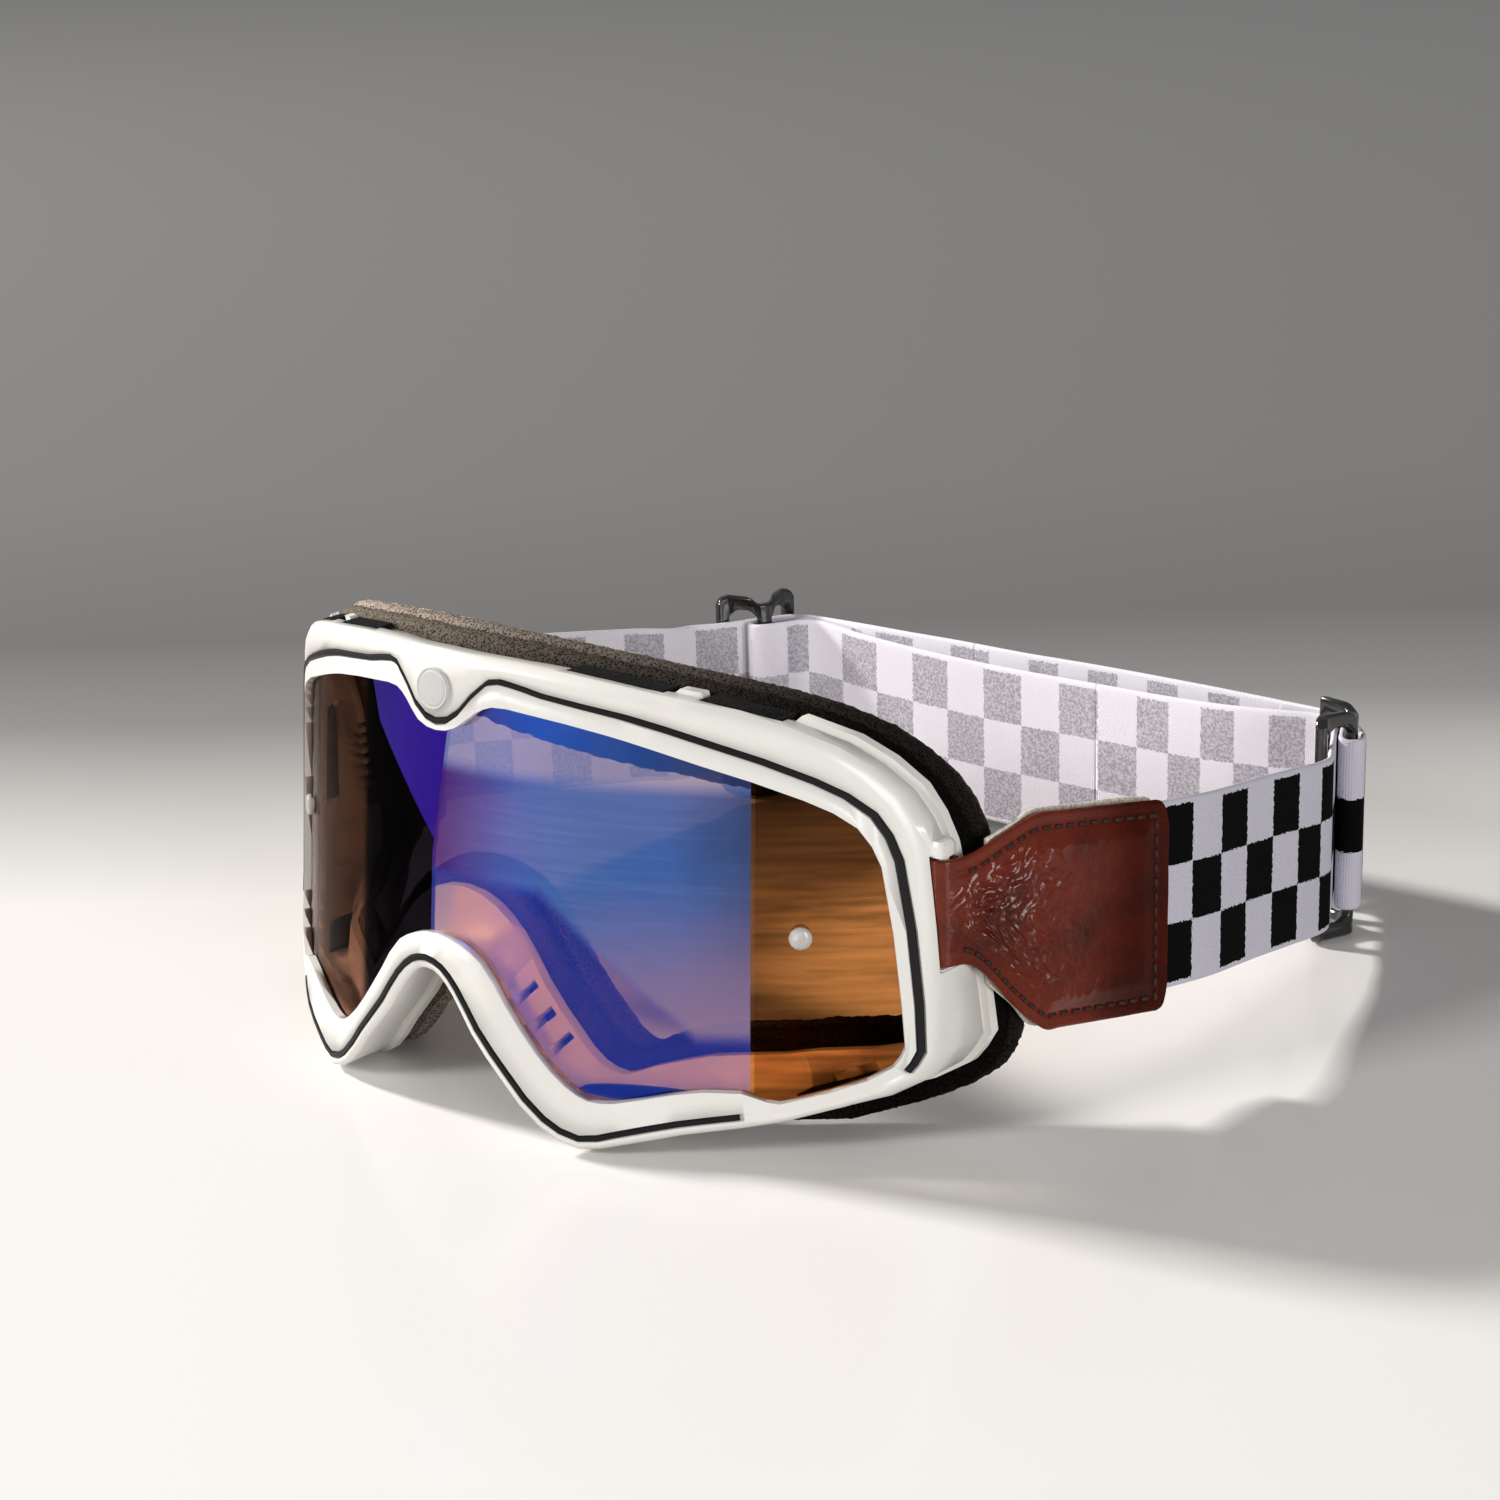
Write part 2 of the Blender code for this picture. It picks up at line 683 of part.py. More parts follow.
def vent_foam(spans, side):
    parts = []
    for start, end in spans:
        sections = []
        for u in spaced(start + 0.075, end - 0.075, 8):
            station = Station(u)
            depth = station.depth
            shelf = -REAR_GROOVE_DEPTH - 0.4 + PLY_GAP
            window = depth - FLANGE_THICKNESS - 0.1 - PLY_GAP
            front = vent_front(u) + PLY_GAP
            sections.append([station.on_skirt(-3.4, front), station.on_skirt(VENT_FOAM_PROUD, front),
                             station.on_skirt(VENT_FOAM_PROUD, depth - 0.1),
                             station.on_skirt(shelf, depth - 0.1), station.on_skirt(shelf, window),
                             station.on_skirt(-3.4, window)])
        parts.append(loft(sections, False))
    if side < 0.0:
        parts = [mirrored(part) for part in parts]
    return parts


def build_vent(name, spans, side, black):
    return add_object(name, *joined(vent_foam(spans, side)), black)


def foam_flare(u):
    for (start, near), (end, far) in zip(FOAM_FLARE, FOAM_FLARE[1:]):
        if start <= u <= end:
            share = (u - start) / (end - start)
            return near + (far - near) * share * share * (3.0 - 2.0 * share)
    return 0.0


def foam_layer(name, start, thickness, outer, inner, colour):
    """Ring of foam behind the flange; outer and inner give the bulge, front to back."""
    sections = []
    rows = len(outer) - 1
    for station in full_ring(base_positions()):
        depth = station.depth + start
        edge = -station.flange - FOAM_OVERHANG
        middle = -station.flange / 2.0
        flare = foam_flare(station.u)
        ring = [station.on_skirt(value + flare, depth + thickness * row / rows)
                for row, value in enumerate(outer)]
        ring.append(station.on_skirt(middle, depth + thickness))
        ring += [station.on_skirt(edge - inner[rows - row], depth + thickness * (rows - row) / rows)
                 for row in range(rows + 1)]
        ring.append(station.on_skirt(middle, depth))
        sections.append([(x, y, max(z, FOAM_LOWEST)) for x, y, z in ring])
    points, faces = loft(sections, True)
    layer = add_object(name, points, faces, colour, True)
    smooth(layer, 50.0)
    return layer


# Ribbons: strap, leather and lining

def curve_through(points, steps):
    line = []
    for index in range(len(points) - 1):
        before = points[max(index - 1, 0)]
        start = points[index]
        end = points[index + 1]
        after = points[min(index + 2, len(points) - 1)]
        gaps = [max(math.dist(a[:2], b[:2]), 1e-3) for a, b in
                ((before, start), (start, end), (end, after))]
        for step in range(steps):
            part = step / steps
            values = []
            for item in range(len(start)):
                first = ((end[item] - start[item]) / gaps[1] * gaps[0]
                         + (start[item] - before[item]) / gaps[0] * gaps[1]) / (gaps[0] + gaps[1])
                second = ((after[item] - end[item]) / gaps[2] * gaps[1]
                          + (end[item] - start[item]) / gaps[1] * gaps[2]) / (gaps[1] + gaps[2])
                if index == 0:
                    first = (end[item] - start[item]) / gaps[1]
                if index == len(points) - 2:
                    second = (end[item] - start[item]) / gaps[1]
                values.append((2 * part ** 3 - 3 * part ** 2 + 1) * start[item]
                              + (part ** 3 - 2 * part ** 2 + part) * first * gaps[1]
                              + (-2 * part ** 3 + 3 * part ** 2) * end[item]
                              + (part ** 3 - part ** 2) * second * gaps[1])
            line.append(tuple(values))
    line.append(tuple(points[-1]))
    return line


def ribbon(line, thickness):
    """Sections of an upright band; each point is x, y, low edge, high edge."""
    sections = []
    last = len(line) - 1
    for index, (x, y, low, high) in enumerate(line):
        ahead = line[min(index + 1, last)]
        behind = line[max(index - 1, 0)]
        run = Vector((ahead[0] - behind[0], ahead[1] - behind[1])).normalized()
        side = Vector((run.y, -run.x)) * thickness / 2.0
        sections.append([(x + side.x, y + side.y, low), (x + side.x, y + side.y, high),
                         (x - side.x, y - side.y, high), (x - side.x, y - side.y, low)])
    return sections


def build_ribbon(name, line, thickness, colour, angle=40.0):
    points, faces = loft(ribbon(line, thickness), False)
    made = add_object(name, points, faces, colour)
    smooth(made, angle)
    return made


def flip(points):
    return [(-point[0],) + tuple(point[1:]) for point in points]


def between(table, value):
    for (a, low_a, high_a), (b, low_b, high_b) in zip(table, table[1:]):
        if value <= b:
            part = min(max((value - a) / (b - a), 0.0), 1.0)
            return low_a + (low_b - low_a) * part, high_a + (high_b - high_a) * part
    return table[-1][1], table[-1][2]


# y, low edge, high edge of the tab
TAB_SHAPE = ((55.6, TAB_FRONT_LOW, TAB_FRONT_HIGH), (71.0, 20.6, 63.4), (73.5, 18.6, 63.5),
             (101.4, 15.4, 59.8), (103.0, 16.2, 59.0), (103.6, 18.0, 57.3))
TAB_KNEE = (96.35, 72.7)
TAB_END = (104.4, 103.6)


def tab_direction():
    ring = BAR_RADIUS + PLY_GAP + LEATHER_THICKNESS / 2.0
    heading = math.atan2(TAB_KNEE[0] - BAR_X, TAB_KNEE[1] - BAR_Y)
    reach = math.hypot(TAB_KNEE[0] - BAR_X, TAB_KNEE[1] - BAR_Y)
    return ring, heading - math.asin(ring / reach)


def leather_line():
    ring, heading = tab_direction()
    start = math.radians(50.0)
    end = 2.0 * math.pi - heading
    line = []
    for step in range(15):
        angle = start + (end - start) * step / 14
        line.append((BAR_X + ring * math.cos(angle), BAR_Y + ring * math.sin(angle),
                     TAB_FRONT_LOW, TAB_FRONT_HIGH))
    leave = line[-1]
    for part in (0.15, 0.4, 0.7, 0.92):
        x = leave[0] + (TAB_KNEE[0] - leave[0]) * part
        y = leave[1] + (TAB_KNEE[1] - leave[1]) * part
        line.append((x, y) + between(TAB_SHAPE, y))
    for part in (0.03, 0.12, 0.3, 0.5, 0.7, 0.88, 0.93, 0.98, 1.0):
        x = TAB_KNEE[0] + (TAB_END[0] - TAB_KNEE[0]) * part
        y = TAB_KNEE[1] + (TAB_END[1] - TAB_KNEE[1]) * part
        line.append((x, y) + between(TAB_SHAPE, y))
    return line


def inside_tab(offset, y):
    run = Vector((TAB_END[0] - TAB_KNEE[0], TAB_END[1] - TAB_KNEE[1])).normalized()
    part = (y - TAB_KNEE[1]) / (TAB_END[1] - TAB_KNEE[1])
    x = TAB_KNEE[0] + (TAB_END[0] - TAB_KNEE[0]) * part
    return x - run.y * offset, y + run.x * offset


def lining_line():
    ring, heading = tab_direction()
    near = LEATHER_THICKNESS / 2.0 + PLY_GAP + LINING_THICKNESS / 2.0
    far = near + PLY_GAP + STRAP_THICKNESS
    line = []
    for y in (61.5, 64.0, 67.0):
        x = TAB_KNEE[0] - (TAB_KNEE[1] - y) * math.tan(heading)
        low, high = between(TAB_SHAPE, y)
        line.append((x - near * math.cos(heading), y + near * math.sin(heading), low, high + LINING_EDGE))
    for y, share in ((70.5, 0.45), (73.5, 0.85), (76.5, 1.0), (84.0, 1.0), (92.0, 1.0),
                     (99.5, 1.0), (101.0, 1.0), (101.8, 1.0)):
        x, back = inside_tab(near + (far - near) * share, y)
        low, high = between(TAB_SHAPE, y + 1.0)
        line.append((x, back, low, high + LINING_EDGE))
    return line


def at_buckle(along, level):
    """A point near the right buckle: along the strap, and level outward from it."""
    run = (-math.sin(BUCKLE_HEADING), math.cos(BUCKLE_HEADING))
    out = (math.cos(BUCKLE_HEADING), math.sin(BUCKLE_HEADING))
    return (BUCKLE_X + run[0] * along + out[0] * level,
            BUCKLE_Y + run[1] * along + out[1] * level)


SLOT_LEVEL = STRAP_THICKNESS / 2.0 + PLY_GAP / 2.0
LOOP_RADIUS = BUCKLE_THICKNESS / 2.0 + PLY_GAP + STRAP_THICKNESS / 2.0
BAR_LEVEL = SLOT_LEVEL + LOOP_RADIUS
LOOP_START = -1.3
LEAD_START = 112.0
LEAD_LENGTH = 58.0


def side_run(level):
    """Strap from inside the right tab to the buckle, at the given buckle level."""
    near = LEATHER_THICKNESS / 2.0 + PLY_GAP + STRAP_THICKNESS / 2.0
    run = []
    for y in (77.5, 90.0, 101.0):
        x, back = inside_tab(near, y)
        run.append((x, back, 20.0 - 0.05 * (y - 77.0)))
    run += [(102.9, 111.0, 17.6), (102.6, 122.0, 15.8), (101.3, 134.0, 13.9), (100.2, 145.0, 12.3),
            (99.5, 155.0, 10.8), (98.7, 164.0, 9.4), (97.6, 172.0, 7.9)]
    for along in (-17.5, -12.0, -5.0, 2.0, 6.0):
        x, y = at_buckle(along, level)
        run.append((x, y, STRAP_LOW + (0.3 if along < -17.0 else 0.0)))
    return run


def arc(centre, radius, start, end, steps, low):
    points = []
    for step in range(steps + 1):
        angle = math.radians(start + (end - start) * step / steps)
        points.append((centre[0] + radius * math.cos(angle), centre[1] + radius * math.sin(angle), low))
    return points


def loop_points(side, outside_first):
    """Half turn round the centre bar; side is +1 when the bar stands outside."""
    x, y = at_buckle(LOOP_START, side * BAR_LEVEL)
    heading = math.degrees(BUCKLE_HEADING)
    if outside_first:
        return arc((x, y), LOOP_RADIUS, heading, heading - 180.0, 6, STRAP_LOW)
    return arc((x, y), LOOP_RADIUS, heading + 180.0, heading + 360.0, 6, STRAP_LOW)


def left_side(points, from_y=None):
    """Mirrored points; from_y leads them gently over to the left buckle's place."""
    moved = []
    for x, y, low in points:
        share = 1.0 if from_y is None else min(max((y - from_y) / LEAD_LENGTH, 0.0), 1.0)
        share = share * share * (1.6 - 0.6 * share)
        moved.append((-x + (BUCKLE_X - LEFT_BUCKLE_X) * share, y + (LEFT_BUCKLE_Y - BUCKLE_Y) * share, low))
    return moved


def as_band(points):
    return [(x, y, low, low + STRAP_WIDTH) for x, y, low in points]


def strap_right_line():
    """From the right tab through the right buckle to a loop on the left buckle."""
    degrees = math.degrees(BUCKLE_HEADING)
    x, y = at_buckle(10.0, -SLOT_LEVEL - 6.0)
    run = side_run(-SLOT_LEVEL)
    run += arc((x, y), 6.0, degrees, 100.0, 4, STRAP_LOW)
    run += [(66.0, 205.4, 6.1), (56.0, 204.0, 5.6), (43.0, 203.2, 5.2), (20.0, 202.8, 4.9),
            (-4.0, 202.1, 4.8), (-22.0, 201.8, 5.0), (-40.0, 202.4, 5.4), (-54.5, 203.5, 5.9),
            (-62.5, 204.4, 6.3), (-68.0, 204.8, 6.5), (-71.0, 204.2, 6.5), (-72.9, 202.2, 6.5)]
    inner = -BAR_LEVEL - LOOP_RADIUS
    near = [at_buckle(along, inner) + (STRAP_LOW,) for along in (4.6, 2.2)]
    near += loop_points(-1.0, False)
    near += [at_buckle(along, -SLOT_LEVEL) + (STRAP_LOW,) for along in (2.2, 5.0)]
    centre = at_buckle(6.0, SLOT_LEVEL - 9.0)
    near += arc(centre, 9.0 - 2.0 * SLOT_LEVEL, degrees + 4.0, 90.0, 3, STRAP_LOW)
    run += left_side(near)
    run += [(-66.5, 206.4, 6.4), (-61.5, 205.8, 6.3), (-56.5, 205.2, 6.1)]
    return as_band(run)


def strap_left_line():
    """From the left tab through the left buckle to a loop on the right buckle."""
    degrees = math.degrees(BUCKLE_HEADING)
    run = side_run(SLOT_LEVEL)
    centre = at_buckle(6.0, SLOT_LEVEL - 9.0)
    run += arc(centre, 9.0, degrees + 6.0, 90.0, 4, STRAP_LOW)
    run = left_side(run, LEAD_START)
    run += [(-63.5, 208.3, 6.6), (-54.0, 207.9, 6.9), (-42.0, 207.6, 7.1), (-25.0, 207.8, 7.3),
            (-6.0, 207.9, 7.3), (14.0, 209.1, 7.3), (33.0, 209.8, 7.2), (50.0, 210.3, 7.0),
            (66.0, 210.7, 6.7)]
    centre = at_buckle(10.0, -SLOT_LEVEL - 6.0)
    run += list(reversed(arc(centre, 6.0 + 4.0 * SLOT_LEVEL, degrees + 14.0, 92.0, 4, STRAP_LOW)))
    px, py = at_buckle(6.5, BAR_LEVEL + LOOP_RADIUS - 1.1)
    run.append((px, py, STRAP_LOW))
    px, py = at_buckle(2.2, BAR_LEVEL + LOOP_RADIUS)
    run.append((px, py, STRAP_LOW))
    run += loop_points(1.0, True)
    for along in (2.2, 6.0):
        px, py = at_buckle(along, SLOT_LEVEL)
        run.append((px, py, STRAP_LOW))
    run += arc(centre, 6.0 + 2.0 * SLOT_LEVEL, degrees, 90.0, 4, STRAP_LOW)
    run += [(72.0, 209.0, 6.5), (66.0, 208.9, 6.5)]
    return as_band(run)


# Buckles

def buckle_level(along, side):
    reach = abs(along)
    window = BUCKLE_HALF_LENGTH - BUCKLE_OUTER_BAR
    part = (reach - BUCKLE_CENTRE_HALF) / (window - BUCKLE_CENTRE_HALF)
    part = min(max(part, 0.0), 1.0)
    return side * BAR_LEVEL * (2.0 * part - 1.0)


def build_buckle(name, mirror, side, black):
    """A bent three-bar slide; side is +1 when its outer bars stand outside."""
    window = BUCKLE_HALF_LENGTH - BUCKLE_OUTER_BAR
    middle = (window + BUCKLE_CENTRE_HALF) / 2.0
    end = BUCKLE_HALF_LENGTH
    half = [0.0, BUCKLE_CENTRE_HALF, middle - 1.3, middle + 1.3, window, end - 1.1, end]
    columns = [-value for value in reversed(half[1:])] + half
    points = []
    faces = []
    rows = []
    for along in columns:
        reach = abs(along)
        edge = 2.2 if reach > end - 0.1 else (0.5 if reach > window + 0.1 else 0.0)
        dip = 1.6 if reach < BUCKLE_CENTRE_HALF + 0.1 else 0.0
        sill = 1.9 if reach > window - 0.1 or reach < BUCKLE_CENTRE_HALF + 0.1 else 0.0
        heights = (edge, BUCKLE_RAIL + sill * 0.7, BUCKLE_HEIGHT - BUCKLE_RAIL - sill,
                   BUCKLE_HEIGHT - max(edge, dip))
        row = []
        for face in (-0.5, 0.5):
            level = buckle_level(along, side) + face * BUCKLE_THICKNESS
            x, y = at_buckle(along, level)
            for height in heights:
                row.append(len(points))
                place = (x, y, height)
                points.append(place if mirror > 0.0 else left_side([place])[0])
        rows.append(row)
    for first, second, start, stop in zip(rows, rows[1:], columns, columns[1:]):
        centre = abs(start + stop) / 2.0
        barred = centre > window or centre < BUCKLE_CENTRE_HALF
        spans = (0, 1, 2) if barred else (0, 2)
        for span in spans:
            faces.append((first[span], first[span + 1], second[span + 1], second[span]))
            faces.append((first[span + 5], first[span + 4], second[span + 4], second[span + 5]))
        faces.append((first[0], second[0], second[4], first[4]))
        faces.append((first[7], second[7], second[3], first[3]))
        if not barred:
            faces.append((first[1], first[5], second[5], second[1]))
            faces.append((first[6], first[2], second[2], second[6]))
    for index, along in enumerate(columns):
        reach = abs(along)
        if reach > end - 0.1:
            row = rows[index]
            for span in (0, 1, 2):
                faces.append((row[span], row[span + 1], row[span + 5], row[span + 4]))
        elif abs(reach - window) < 0.01 or abs(reach - BUCKLE_CENTRE_HALF) < 0.01:
            row = rows[index]
            faces.append((row[1], row[2], row[6], row[5]))
    buckle = add_object(name, points, faces, black)
    bevel = buckle.modifiers.new("soft_edges", 'BEVEL')
    bevel.width = BUCKLE_BEVEL * MM
    bevel.segments = 1
    bevel.limit_method = 'ANGLE'
    bevel.angle_limit = math.radians(40.0)
    smooth(buckle, 45.0)
    return buckle


def main():
    clear_scene()
    bone = material("ivory_plastic", BONE, 0.30)
    glass = material("mirror_lens", LENS_BLUE, 0.06, 0.0, 0.6)
    clear = material("clear_plastic", POST_CLEAR, 0.12)
    grey = material("badge_grey", BADGE_GREY, 0.35)
    stripe = material("stripe_black", STRIPE_BLACK, 0.35)
    mesh = material("vent_black", MESH_BLACK, 0.9)
    base = material("foam_black", FOAM_BLACK, 0.95)
    middle = material("foam_grey", FOAM_GREY, 0.95)
    fleece = material("fleece_brown", FLEECE_BROWN, 1.0)
    leather = material("brown_leather", LEATHER_BROWN, 0.35)
    cream = material("cream_lining", LINING_CREAM, 0.8)
    webbing = material("strap_webbing", STRAP_WHITE, 0.8)
    black = material("buckle_black", BLACK_PLASTIC, 0.18)

    build_frame(bone)
    build_lens(glass)
    build_post("tear_off_post_left", -1.0, clear)
    build_post("tear_off_post_right", 1.0, clear)
    build_badge(grey)
    build_stripe("upper_pinstripe", 0.0, UPPER_STRIPE_END - 0.1, stripe)
    build_stripe("lower_pinstripe", LOWER_STRIPE_START + 0.1, float(LAST), stripe)
    build_vent("top_vent_foam_inner_right", VENT_SPANS[:1], 1.0, mesh)
    build_vent("top_vent_foam_outer_right", VENT_SPANS[1:], 1.0, mesh)
    build_vent("top_vent_foam_inner_left", VENT_SPANS[:1], -1.0, mesh)
    build_vent("top_vent_foam_outer_left", VENT_SPANS[1:], -1.0, mesh)
    build_vent("bottom_vent_foam_right", (BOTTOM_VENT_SPAN,), 1.0, mesh)
    build_vent("bottom_vent_foam_left", (BOTTOM_VENT_SPAN,), -1.0, mesh)
    start = FOAM_SEAT_GAP
    foam_layer("face_foam_base", start, FOAM_BASE_THICKNESS, (-0.2, 0.6), (0.0, 0.5), base)
    start += FOAM_BASE_THICKNESS + FOAM_GAP
    foam_layer("face_foam_middle", start, FOAM_MIDDLE_THICKNESS,
               (0.6, FOAM_BULGE, 0.6), (0.5, 0.8, 0.5), middle)
    start += FOAM_MIDDLE_THICKNESS + FOAM_GAP
    foam_layer("face_foam_fleece", start, FOAM_FLEECE_THICKNESS,
               (0.6, -1.6), (0.5, -1.4), fleece)

    tab = leather_line()
    lining = lining_line()
    middle_height = (TAB_FRONT_LOW + TAB_FRONT_HIGH) / 2.0
    hang_on_axis("tab_axis_right", BAR_X, BAR_Y, middle_height, [
        build_ribbon("leather_tab_right", tab, LEATHER_THICKNESS, leather),
        build_ribbon("tab_lining_right", lining, LINING_THICKNESS, cream)])
    hang_on_axis("tab_axis_left", -BAR_X, BAR_Y, middle_height, [
        build_ribbon("leather_tab_left", flip(tab), LEATHER_THICKNESS, leather),
        build_ribbon("tab_lining_left", flip(lining), LINING_THICKNESS, cream)])
    build_ribbon("strap_right", curve_through(strap_right_line(), 2), STRAP_THICKNESS, webbing)
    build_ribbon("strap_left", curve_through(strap_left_line(), 2), STRAP_THICKNESS, webbing)
    right = build_buckle("buckle_right", 1.0, -1.0, black)
    place_origin(right, BUCKLE_X, BUCKLE_Y, BUCKLE_HEIGHT / 2.0)
    left = build_buckle("buckle_left", -1.0, 1.0, black)
    place_origin(left, -LEFT_BUCKLE_X, LEFT_BUCKLE_Y, BUCKLE_HEIGHT / 2.0)


main()
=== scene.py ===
"""Looks of the motocross goggles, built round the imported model."""

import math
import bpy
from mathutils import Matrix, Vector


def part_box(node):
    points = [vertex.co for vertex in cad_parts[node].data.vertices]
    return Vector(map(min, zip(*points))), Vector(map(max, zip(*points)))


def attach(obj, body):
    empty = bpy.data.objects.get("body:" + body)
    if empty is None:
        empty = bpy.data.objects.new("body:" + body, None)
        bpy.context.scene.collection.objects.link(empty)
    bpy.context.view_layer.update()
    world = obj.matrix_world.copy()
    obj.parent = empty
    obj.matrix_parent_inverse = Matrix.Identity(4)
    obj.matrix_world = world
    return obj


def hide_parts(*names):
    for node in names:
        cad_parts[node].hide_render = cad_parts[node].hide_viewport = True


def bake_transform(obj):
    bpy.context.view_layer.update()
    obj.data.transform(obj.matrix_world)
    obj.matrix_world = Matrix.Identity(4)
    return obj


bl_info = {
    "name": "Motocross goggles",
    "version": (1, 0, 0),
    "blender": (4, 5, 0),
    "location": "View3D > Sidebar > Goggles",
    "description": "Moulding, mirror lens, foam, leather tabs, checked strap and buckles of the goggles",
    "category": "Object",
}

import bmesh
import bpy
import numpy as np
from bpy.props import FloatProperty, FloatVectorProperty, IntProperty, PointerProperty
from mathutils import Matrix, Vector, noise

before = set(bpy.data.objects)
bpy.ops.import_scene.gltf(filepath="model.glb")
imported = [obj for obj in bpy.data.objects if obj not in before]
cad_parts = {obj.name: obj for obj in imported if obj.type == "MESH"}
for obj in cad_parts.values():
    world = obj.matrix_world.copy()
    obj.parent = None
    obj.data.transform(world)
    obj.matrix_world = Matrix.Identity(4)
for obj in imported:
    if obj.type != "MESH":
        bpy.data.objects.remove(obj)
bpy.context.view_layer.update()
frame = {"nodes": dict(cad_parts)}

MM = 0.001
MERGE = 0.000002

# Camera, from the photograph
CAMERA_PLACE = (0.43479, -0.50542, 0.25955)
CAMERA_AZIMUTH = 41.077
CAMERA_PITCH = 17.4515
CAMERA_ROLL = -1.7166
CAMERA_LENS = 76.835

# Plies, read as the CAD ribbons' thickness
STRAP_PLY = 1.4 * MM
LEATHER_PLY = 1.5 * MM
LINING_PLY = 1.0 * MM
STRAP_WIDTH = 40.0 * MM
CORNER_RADIUS = 3.0 * MM
THREAD = 0.55 * MM
SEAM_STEP = 0.5 * MM

# Badge disc, and the inset and rise of its rings from the rim inward
BROW_SLOPE = 0.104
BADGE_DEPTH = 0.0010
BADGE_RINGS = ((0.00055, -0.00018), (0.0002, 0.00014))

# Fields of the lens, mostly painted reflections and painted shade. A line gives x or height as slope, offset
COAT_RIGHT = (-0.0293, 0.0621)
COAT_LEFT = (0.14, -0.0109)
COAT_LEFT_LEAST = -0.0035
BLADE_DIAGONAL = (1.0575, 0.05315)
BLADE_STEEP = (0.393, 0.00814)
PAINTED_SHADE_START = (-0.0292, -0.0262)
BAND_LOW = (-0.195, 0.0844)
NOSE_LINE = (-0.886, 0.0702)
NOSE_HEIGHTS = (0.0235, 0.0500)
GHOST_HEIGHTS = (0.0700, 0.0745)
PAINTED_CHANNEL_LONG = (95.0, -4.04)
PAINTED_CHANNEL_SHORT = (700.0, -8.3)
NOSE_COVER = 0.43
GHOST_COVER = 0.50
BAND_COVER = 0.95
BLADE_COVER = 0.62

# Leather surface: runs along it and lifts, in metres
LOOP_RUN = 0.006
PAD_SHOULDER = 0.0045
SEAM_WIDTH = 0.0006
SWELL = 0.0008
KNEE_SWELL = 0.0009
CREASE = 0.00105
FINE_CREASE = 0.00045
UPRIGHT_CREASE = 0.00038
HIDE = 0.00010
PINCH = 0.00040
CREASE_SLANT = math.radians(58.0)

# Name, place, target, size, watts, colour
LAMPS = (
    ("key", (-2.8, -0.7, 1.75), (0.0, 0.0, 0.04), 0.36, 126.0, (1.0, 0.97, 0.93)),
    ("front", (-1.0, -2.6, 1.35), (0.0, -0.03, 0.05), 0.7, 46.0, (1.0, 0.98, 0.96)),
    ("side", (2.6, -1.0, 0.60), (0.0, 0.0, 0.05), 1.1, 40.0, (1.0, 0.99, 0.99)),
)
# Floor colour by distance behind the object, as the camera looks: a painted falloff of light, pale near the object
# and grey further behind
FLOOR_PAINTED_FALLOFF = (
    (0.060, (0.95, 0.935, 0.91)), (0.13, (0.66, 0.652, 0.64)), (0.21, (0.30, 0.298, 0.295)),
    (0.30, (0.17, 0.17, 0.17)), (0.50, (0.20, 0.20, 0.20)),
)
FLOOR_BOUNCE = (0.50, 0.49, 0.475)
SKY = (0.66, 0.655, 0.65)
SKY_LIGHT = 0.18
SKY_SEEN = 0.27


# Mesh helpers

def switch(mode):
    bpy.ops.object.mode_set(mode=mode)


def deselect():
    if bpy.context.mode != 'OBJECT':
        switch('OBJECT')
    bpy.ops.object.select_all(action='DESELECT')


def select_only(piece):
    deselect()
    piece.select_set(True)
    bpy.context.view_layer.objects.active = piece


def finish_piece(piece, material, slot, body="frame", *replaced):
    """Material, body and the CAD nodes that the piece stands for. The slot argument is not used."""
    piece.data.materials.clear()
    piece.data.materials.append(material)
    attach(piece, body)
    if replaced:
        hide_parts(*replaced)
    return piece


def apply_modifiers(piece):
    select_only(piece)
    for modifier in list(piece.modifiers):
        bpy.ops.object.modifier_apply(modifier=modifier.name)


def placed(name, data):
    piece = bpy.data.objects.new(name, data)
    bpy.context.scene.collection.objects.link(piece)
    return piece


def merged_copy(node, name, dissolve=0.0):
    """A copy of a CAD node with its loose triangles merged."""
    piece = placed(name, frame["nodes"][node].data.copy())
    select_only(piece)
    switch('EDIT')
    bpy.ops.mesh.select_all(action='SELECT')
    bpy.ops.mesh.remove_doubles(threshold=MERGE)
    if dissolve:
        bpy.ops.mesh.dissolve_limited(angle_limit=math.radians(dissolve))
    switch('OBJECT')
    return piece


def shade(piece, angle):
    select_only(piece)
    bpy.ops.object.shade_smooth_by_angle(angle=math.radians(angle))


def round_off(piece, width, degrees=30.0):
    bevel = piece.modifiers.new("round", 'BEVEL')
    bevel.width = width
    bevel.segments = 3
    bevel.limit_method = 'ANGLE'
    bevel.angle_limit = math.radians(degrees)
    apply_modifiers(piece)


def dressed(node, name, material, slot, smooth, body="frame", dissolve=0.5, swell=0.0, bevel=None):
    """A CAD node's merged copy, swollen or rounded, and smooth below an angle."""
    piece = merged_copy(node, name, dissolve)
    if swell:
        for vert, normal in zip(piece.data.vertices, [vert.normal.copy() for vert in piece.data.vertices]):
            vert.co += normal * swell
    if bevel:
        round_off(piece, *bevel)
    shade(piece, smooth)
    return finish_piece(piece, material, slot, body, node)


def mesh_piece(name, points, faces, uvs):
    mesh = bpy.data.meshes.new(name)
    mesh.from_pydata(points, [], faces)
    mesh.update()
    layer = mesh.uv_layers.new(name="cloth")
    layer.data.foreach_set("uv", np.array([uv for face in uvs for uv in face], np.float32).ravel())
    mesh.shade_smooth()
    return placed(name, mesh)


# Routes of the strap, the tabs and their linings, read from the CAD ribbons

